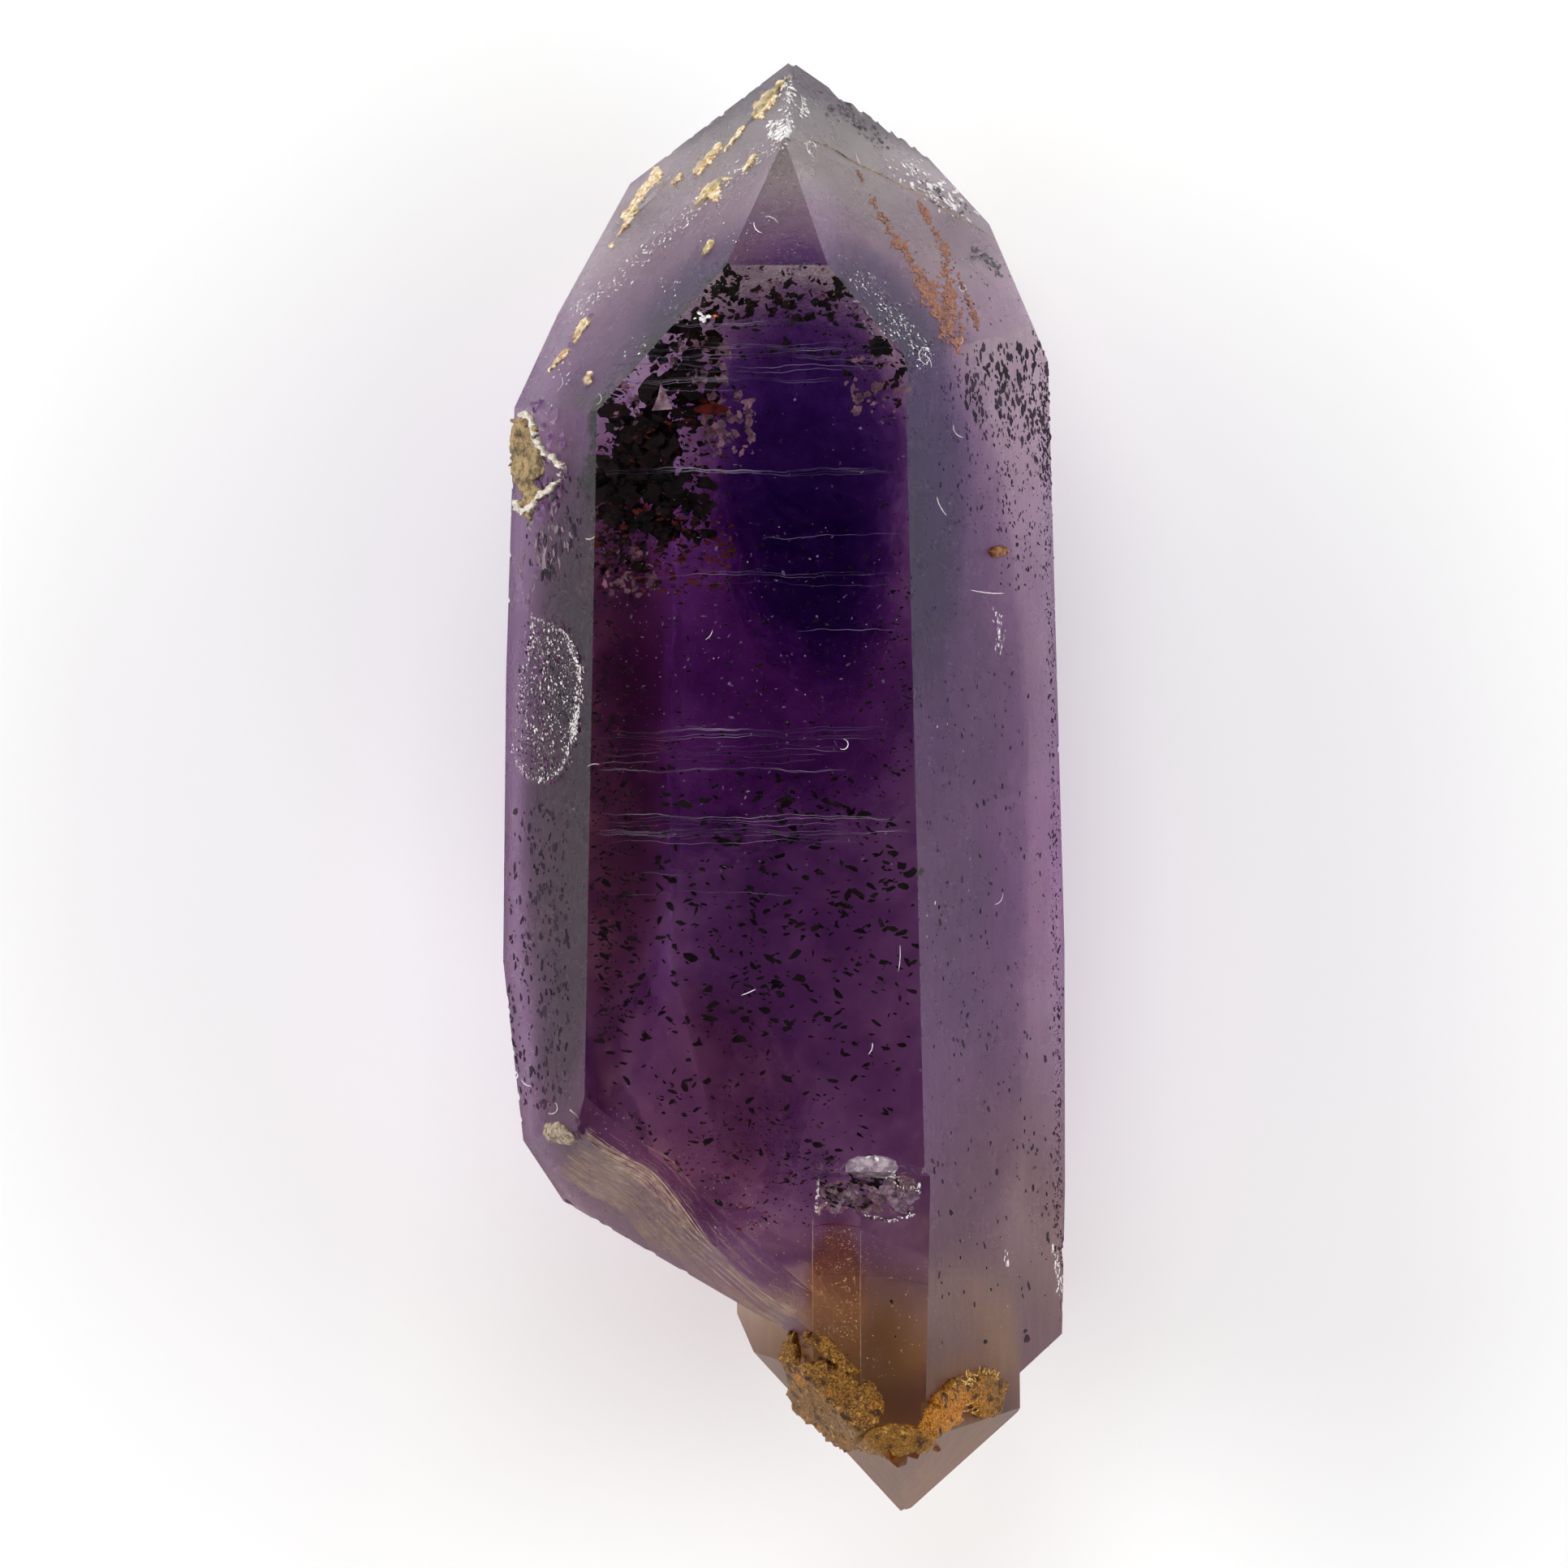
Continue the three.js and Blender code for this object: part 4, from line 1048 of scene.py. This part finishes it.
CRUSHED_EDGES = [
    ([(1.4, 21.2), (3.1, 19.9)], 0.16, 60, (0.05, 0.15), BARE),
    ([(4.0, 19.0), (5.8, 17.7)], 0.12, 26, (0.05, 0.16), BARE),
    ([(5.9, 16.55), (6.4, 16.25), (6.8, 15.95)], 0.08, 40, (0.06, 0.2), BARE),
    (SLANTED_EDGE, 0.2, 150, (0.02, 0.1), BARE),
]
smoky_scale = crust_material("smoky_scale", (0.03, 0.025, 0.03), (0.17, 0.15, 0.17), 0.15, 0.4,
                             0.01)
plate_piece("smoky_scales", scattered(random, lines=CRUSHED_EDGES), smoky_scale, SCALE, random)

# The left face: an etched patch of white and dark grains inside a bright broken rim, pointed
# wedges above it where a flat crack runs in, and a small tan chip at the foot.
FROSTED_RIM = [(-7.76, 5.2), (-6.75, 4.65), (-6.3, 3.5), (-6.4, 2.2), (-6.6, 1.25), (-6.95, 0.4),
               (-7.45, 0.1), (-8.1, 0.3), (-8.4, 0.95), (-8.2, 3.1), (-7.8, 4.3), (-7.76, 5.2)]
GRAIN = {**CHIP, "spin": 1.9, "spin_spread": 0.6, "narrow": (0.35, 0.8)}
random = np.random.default_rng(31)
FROSTED_PATCH = [(-7.35, 2.6, 0.85, 2.3, 700, (0.015, 0.06), PROUD),
                 (-7.35, 2.9, 0.7, 1.9, 90, (0.05, 0.1), PROUD)]
RIM_ROWS = [(FROSTED_RIM, 0.05, 330, (0.02, 0.09), PROUD),
            (FROSTED_RIM[1:5], 0.06, 180, (0.03, 0.12), PROUD)]
frosted_grain = crust_material("frosted_grain", (0.26, 0.23, 0.24), (0.9, 0.87, 0.84), 0.08, 0.5,
                               0.01)
plate_piece("frosted_grains", scattered(random, FROSTED_PATCH, RIM_ROWS), frosted_grain, GRAIN,
            random, "side")

WEDGE = {**CHIP, "corners": 4, "ragged": 0.35, "narrow": (0.3, 0.6), "spin": 1.9,
         "spin_spread": 0.5, "lean": 0.02, "thickest": 0.006}
dim_wedge = crust_material("dim_wedge", (0.07, 0.045, 0.06), (0.22, 0.15, 0.18), 0.5, 0.35, 0.01)
CRACKED = [(-7.3, 7.7, 0.7, 0.9, 26, (0.15, 0.5), BARE),
           (-7.9, 6.4, 0.3, 1.0, 8, (0.15, 0.4), BARE)]
plate_piece("crack_wedges", scattered(random, CRACKED), dim_wedge, WEDGE, random, "side")

tan_chip = crust_material("tan_chip", (0.16, 0.1, 0.06), (0.5, 0.4, 0.3), 0.14, 0.5, 0.03)
crust_piece("foot_chip", tan_chip, (-7.7, -11.4), (1.5, 1.1), 0.025,
            lambda x, y: oval(x, y, (-6.98, -10.85), (0.5, 0.3), -12, 1.1, 80),
            lambda x, y: 0.04 + 0.14 * clouds(x, y, 0.2, 81))

# The right face: one orange bead of iron oxide, two white feathers where small cracks catch the
# light, and a painted highlight low on the outer edge: white plates that stand in for a bright
# glint there.
orange_bead = crust_material("orange_bead", (0.04, 0.012, 0.004), (0.34, 0.12, 0.02), 0.12, 0.25,
                             0.02)
crust_piece("orange_bead", orange_bead, (6.2, 7.0), (0.9, 0.8), 0.02,
            lambda x, y: oval(x, y, (6.64, 7.22), (0.31, 0.2), 8, 0.5, 85),
            lambda x, y: 0.16 + 0.03 * clouds(x, y, 0.2, 86))

SHARD = {**CHIP, "narrow": (0.1, 0.35), "spin": 1.4, "spin_spread": 0.5, "thickest": 0.02}
FEATHERS = [
    ([(6.5, 5.5), (6.75, 4.9), (6.7, 4.2)], 0.09, 46, (0.04, 0.16), BARE),
    ([(6.85, -14.5), (7.0, -15.1)], 0.05, 16, (0.04, 0.14), BARE),
    # Painted highlight: white plates low on the outer edge.
    ([(8.4, -14.4), (8.65, -15.9)], 0.06, 60, (0.05, 0.18), BARE),
    ([(8.55, 9.5), (8.6, 4.0)], 0.03, 60, (0.03, 0.12), BARE),
]
STRAY_SHARDS = [(5.2, 1.0, 0.9, 8.0, 34, (0.02, 0.1), BARE)]
random = np.random.default_rng(41)
rows = np.concatenate([scattered(random, lines=FEATHERS), scattered(random, STRAY_SHARDS)])
plate_piece("white_feathers_and_highlight", rows, white_quartz_highlight, SHARD, random, "side")
spots = np.array([(7.55, -17.25, 0.2, 0.0), (6.25, -17.3, 0.14, 0.0), (7.5, -17.0, 0.12, 0.0)])
plate_piece("dark_spots", spots, veiled_oxide, {**SCALE, "lean": 0.02}, random, "side")

# The ledge above the tip: flakes of quartz that split off and healed. The largest is a pale oval,
# the others are mauve scales. White plates on their rims are painted sparkle highlights, and black
# plates in the dark gaps under and between them are painted shade.
flake_skin = crust_material("flake_skin", (0.15, 0.1, 0.14), (0.4, 0.32, 0.36), 0.3, 0.3, 0.02)
mauve_skin = crust_material("mauve_skin", (0.07, 0.035, 0.06), (0.24, 0.15, 0.2), 0.25, 0.4, 0.03)
crust_piece("pale_flake", flake_skin, (1.9, -12.5), (1.7, 1.2), 0.025,
            lambda x, y: oval(x, y, (2.7, -11.87), (0.8, 0.38), -4, 0.7, 100),
            lambda x, y: 0.16 + 0.08 * clouds(x, y, 0.4, 101))
random = np.random.default_rng(51)
LEDGE_SCALES = [(3.5, -12.75, 0.62, 0.42, 40, (0.14, 0.36), (-0.16, -0.08)),
                (2.2, -12.8, 0.95, 0.45, 50, (0.1, 0.32), (-0.12, -0.02))]
# Painted shade: black plates where the gaps under and between the scales are dark.
LEDGE_SHADE = [(2.1, -12.6, 0.9, 0.5, 70, (0.05, 0.17), (-0.17, -0.1)),
              (2.9, -12.3, 0.8, 0.1, 30, (0.06, 0.16), (-0.2, -0.14)),
              (0.6, -11.9, 0.9, 0.5, 60, (0.04, 0.14), (0.0, 0.2))]
# Painted highlights: white plates that sparkle along the scales' rims.
SPARKLE_HIGHLIGHTS = [
    ([(2.6, -11.5), (3.2, -11.7), (3.4, -12.05)], 0.04, 40, (0.03, 0.1), (-0.26, -0.1)),
    ([(3.2, -12.1), (3.5, -12.35), (3.8, -12.5), (4.2, -12.5)], 0.07, 90, (0.03, 0.12),
     (-0.2, -0.06)),
    ([(2.5, -13.35), (3.4, -13.5), (4.0, -13.3)], 0.04, 40, (0.02, 0.08), (-0.18, -0.1)),
    ([(0.98, -13.3), (1.1, -12.2)], 0.03, 40, (0.02, 0.09), (-0.05, 0.0)),
]
plate_piece("ledge_scales", scattered(random, LEDGE_SCALES), mauve_skin,
            {**SCALE, "lean": 0.2}, random)
plate_piece("ledge_painted_shade", scattered(random, LEDGE_SHADE), black_oxide,
            {**FLECK, "lean": 0.1, "thickest": 0.01}, random)
plate_piece("ledge_painted_sparkles", scattered(random, lines=SPARKLE_HIGHLIGHTS), white_quartz_highlight, CHIP, random)

# The slanting lower face and its crest: fine silky steps run down along it. Their pale tan is
# partly a painted sheen, and the thread along the crest is a painted highlight.
CREST = [(-6.15, -10.75), (-5.2, -11.4), (-4.05, -12.05), (-3.2, -13.05), (-2.05, -14.55),
         (-0.65, -15.75), (0.35, -16.35)]
SLOPE_DOWN = (-0.65, -0.76)
STEP_LINES = [
    # how far beside the crest, from and to, count
    (0.05, 1.6, 2100), (-0.1, 0.2, 160), (-0.9, -0.1, 40),
]
SLOPE_STEPS = 13
CREST_PLACES = 200
FULL_TURN = 6.28
# Share of the crest's length that a step runs along, its radius, and the height of its waves.
STEP_SHARE = (0.03, 0.14)
STEP_RADIUS = (0.0015, 0.005)
STEP_WAVES = 0.01
tan_silk_sheen = crust_material("tan_silk_sheen", (0.31, 0.22, 0.15), (0.5, 0.375, 0.26), 0.25, 0.4, 0.01)
beside = np.concatenate([random.uniform(near, far, count) for near, far, count in STEP_LINES])
count = len(beside)
start = random.uniform(0, 0.95, count)[:, None]
share = start + random.uniform(*STEP_SHARE, count)[:, None] * np.linspace(0, 1, SLOPE_STEPS)
crest = drawn_line(CREST, CREST_PLACES)
place = np.clip(share, 0, 1) * (CREST_PLACES - 1)
x, y = (np.interp(place, np.arange(CREST_PLACES), crest[:, k]) + beside[:, None] * SLOPE_DOWN[k]
        for k in (0, 1))
y = y + STEP_WAVES * np.sin(place * 0.4 + random.uniform(0, FULL_TURN, count)[:, None])
silk = on_face(np.stack([x, y], axis=-1), 0.0)
silk = silk[within_crystal(silk, -0.01).all(axis=1)]
thread_piece("slope_steps", silk, random.uniform(*STEP_RADIUS, len(silk)), tan_silk_sheen)
# Painted highlight: a pale thread along the crest.
thread_piece("slope_crest", on_face(crest[None, ::4], -0.004), [0.016], tan_silk_sheen)

# Golden curls of iron oxide stand in a bundle at the right end of the ochre crust.
def curls(middles, length, heading, bend, steps):
    """From each middle a path whose heading turns evenly by the bend: the sum of equal steps
    (cos, sin) of the heading, centred on the middle."""
    share = np.linspace(-0.5, 0.5, steps)
    turn = heading[:, None] + bend[:, None] * share
    step = (length / steps)[:, None]
    x, y = np.cumsum(step * np.cos(turn), axis=1), np.cumsum(step * np.sin(turn), axis=1)
    x, y = x - x.mean(axis=1, keepdims=True), y - y.mean(axis=1, keepdims=True)
    return np.stack([x + middles[:, :1], y + middles[:, 1:2]], axis=-1)


CURL_STEPS = 14
CURL_COUNT = 110
CURL_LENGTH, CURL_BEND, CURL_RADIUS = (0.25, 0.7), 2.4, (0.02, 0.05)
# Height of the lowest curl, of the bundle above it, and of the arch of each curl.
CURL_LIFT, BUNDLE_HEIGHT, CURL_ARCH = 0.06, 0.3, 0.1
rows = scattered(random, [(6.1, -18.85, 0.5, 0.6, CURL_COUNT, (1, 1), (0, 1))])
length = random.uniform(*CURL_LENGTH, CURL_COUNT)
heading = random.uniform(0, FULL_TURN / 2, CURL_COUNT)
bend = random.normal(0, CURL_BEND, CURL_COUNT)
paths = on_face(curls(rows[:, :2], length, heading, bend, CURL_STEPS), 0.0)
arch = CURL_ARCH * np.sin(np.linspace(0, np.pi, CURL_STEPS))
paths[..., 2] += CURL_LIFT + BUNDLE_HEIGHT * rows[:, 3:4] + arch
gold_curl = crust_material("gold_curl", (0.14, 0.06, 0.012), (0.8, 0.48, 0.14), 0.1, 0.35, 0.01)
thread_piece("golden_curls", paths, random.uniform(*CURL_RADIUS, CURL_COUNT), gold_curl, 4,
             smooth=True)

# Pale lines mark the two long edges of the tip's narrow facet, and a dark red one closes its top.
# Three dots of oxide sit on the tip's front.
EDGE_LINES = [[(0.9, -13.4), (0.88, -15.0), (0.9, -18.0)],
              [(2.38, -13.8), (2.36, -16.0), (2.4, -19.4)]]
edges = np.stack([on_face(drawn_line(line, 30), -0.004) for line in EDGE_LINES])
thread_piece("facet_edges", edges, [0.012, 0.005], tan_silk_sheen)
RED_LINE = [(0.9, -13.7), (1.5, -13.62), (2.4, -13.72)]
thread_piece("red_line", on_face(drawn_line(RED_LINE, 24), -0.003)[None], [0.022], red_oxide)
dots = np.array([(3.33, -16.02, 0.085, -0.01), (3.45, -17.1, 0.05, 0.0), (4.9, -17.3, 0.06, 0.0)])
plate_piece("tip_dots", dots, black_oxide, {**SCALE, "lean": 0.01}, random)

# Dust and lint: specks of pale quartz dust lie on every face, with a few curled cotton fibres.
DUST = [
    (-3.0, 17.4, 2.6, 2.6, 900, (0.01, 0.034), BARE),
    (2.6, 17.2, 2.8, 2.6, 500, (0.01, 0.03), BARE),
    (0.3, 17.4, 1.0, 1.7, 520, (0.01, 0.034), BARE),
    (-7.3, 3.0, 1.0, 12.0, 520, (0.008, 0.03), BARE),
    (6.2, 2.0, 2.0, 12.5, 520, (0.008, 0.026), BARE),
    (-0.8, 0.0, 5.0, 15.0, 700, (0.006, 0.022), BARE),
    (-0.8, 4.6, 4.6, 3.6, 260, (0.012, 0.04), (0.02, 0.5)),
    (-4.0, -14.0, 3.4, 2.6, 420, (0.008, 0.035), BARE),
    (3.0, -16.6, 2.6, 2.6, 420, (0.008, 0.026), BARE),
    (-5.6, -11.6, 1.6, 1.6, 160, (0.01, 0.04), BARE),
]
random = np.random.default_rng(61)
pale_dust = crust_material("pale_dust", (0.14, 0.12, 0.15), (0.6, 0.56, 0.58), 0.5, 0.6, 0.01)
plate_piece("pale_dust", scattered(random, DUST), pale_dust, {**CHIP, "lean": 0.3}, random)
# Round the lower end the dust is brown with iron oxide.
STAINS = [
    (3.6, -21.0, 2.6, 1.6, 2400, (0.018, 0.06), PROUD),
    (-1.0, -17.2, 1.6, 1.6, 500, (0.01, 0.04), PROUD),
    (2.6, -16.2, 2.4, 2.4, 700, (0.01, 0.035), PROUD),
    (6.8, -16.4, 1.6, 2.6, 500, (0.01, 0.04), PROUD),
    (-3.4, -14.4, 3.4, 2.2, 700, (0.01, 0.035), PROUD),
    (1.6, -15.5, 0.7, 1.8, 900, (0.01, 0.04), BARE),
]
stain_dust = crust_material("stain_dust", (0.2, 0.09, 0.03), (0.62, 0.4, 0.18), 0.4, 0.6, 0.01)
plate_piece("stain_dust", scattered(random, STAINS), stain_dust, CHIP, random)

LINT = np.array([
    # middle x and y, length, heading, bend
    (0.78, 19.7, 0.75, -1.4, 2.2), (0.55, 21.1, 0.7, 1.6, 0.5), (2.3, 19.4, 0.5, -1.2, 0.6),
    (-0.85, 17.2, 0.5, -1.0, 1.6), (-0.35, 17.5, 0.5, -0.5, -1.2), (4.25, 13.2, 0.7, -1.3, 2.4),
    (4.45, 13.15, 0.6, -0.9, -1.6), (5.55, 15.4, 0.6, 0.4, 5.6), (5.45, 13.75, 0.55, 0.6, 5.2),
    (5.35, 10.9, 0.6, -0.9, 1.8), (4.85, 8.6, 0.7, -1.1, 0.6), (6.3, 5.95, 1.1, -0.1, 0.3),
    (3.58, -5.4, 0.85, 1.5, 0.3), (-1.1, -6.45, 0.5, 0.4, 0.2), (-7.1, -10.1, 0.6, 0.9, 3.0),
    (-8.0, -9.3, 0.45, -0.6, 1.4), (-5.7, 11.9, 0.5, 1.3, 2.6), (-6.0, 7.6, 0.35, 0.1, 1.4),
    (-5.9, 0.6, 0.4, 0.2, -1.0), (1.9, 1.2, 0.6, 1.1, 3.6), (-2.3, 4.6, 0.4, 0.9, 1.0),
    (2.7, -8.2, 0.4, 1.2, 1.0), (6.7, -3.6, 0.5, 0.9, 1.6), (-6.9, 12.4, 0.5, 1.2, 1.8),
])
LINT_STEPS = 20
LINT_RADIUS = (0.009, 0.017)
paths = on_face(curls(LINT[:, :2], *LINT[:, 2:].T, LINT_STEPS), -0.012)
cotton, tree, shader = new_material("cotton")
thread_tone = noise_field(tree, object_place(tree), 0.1)
thread_colour = mixed(tree, thread_tone, (0.6, 0.58, 0.58), (0.92, 0.9, 0.88))
plugged(tree, shader, {"Base Color": thread_colour, "Roughness": 0.8})
thread_piece("lint", paths, random.uniform(*LINT_RADIUS, len(LINT)), cotton, 4, smooth=True)
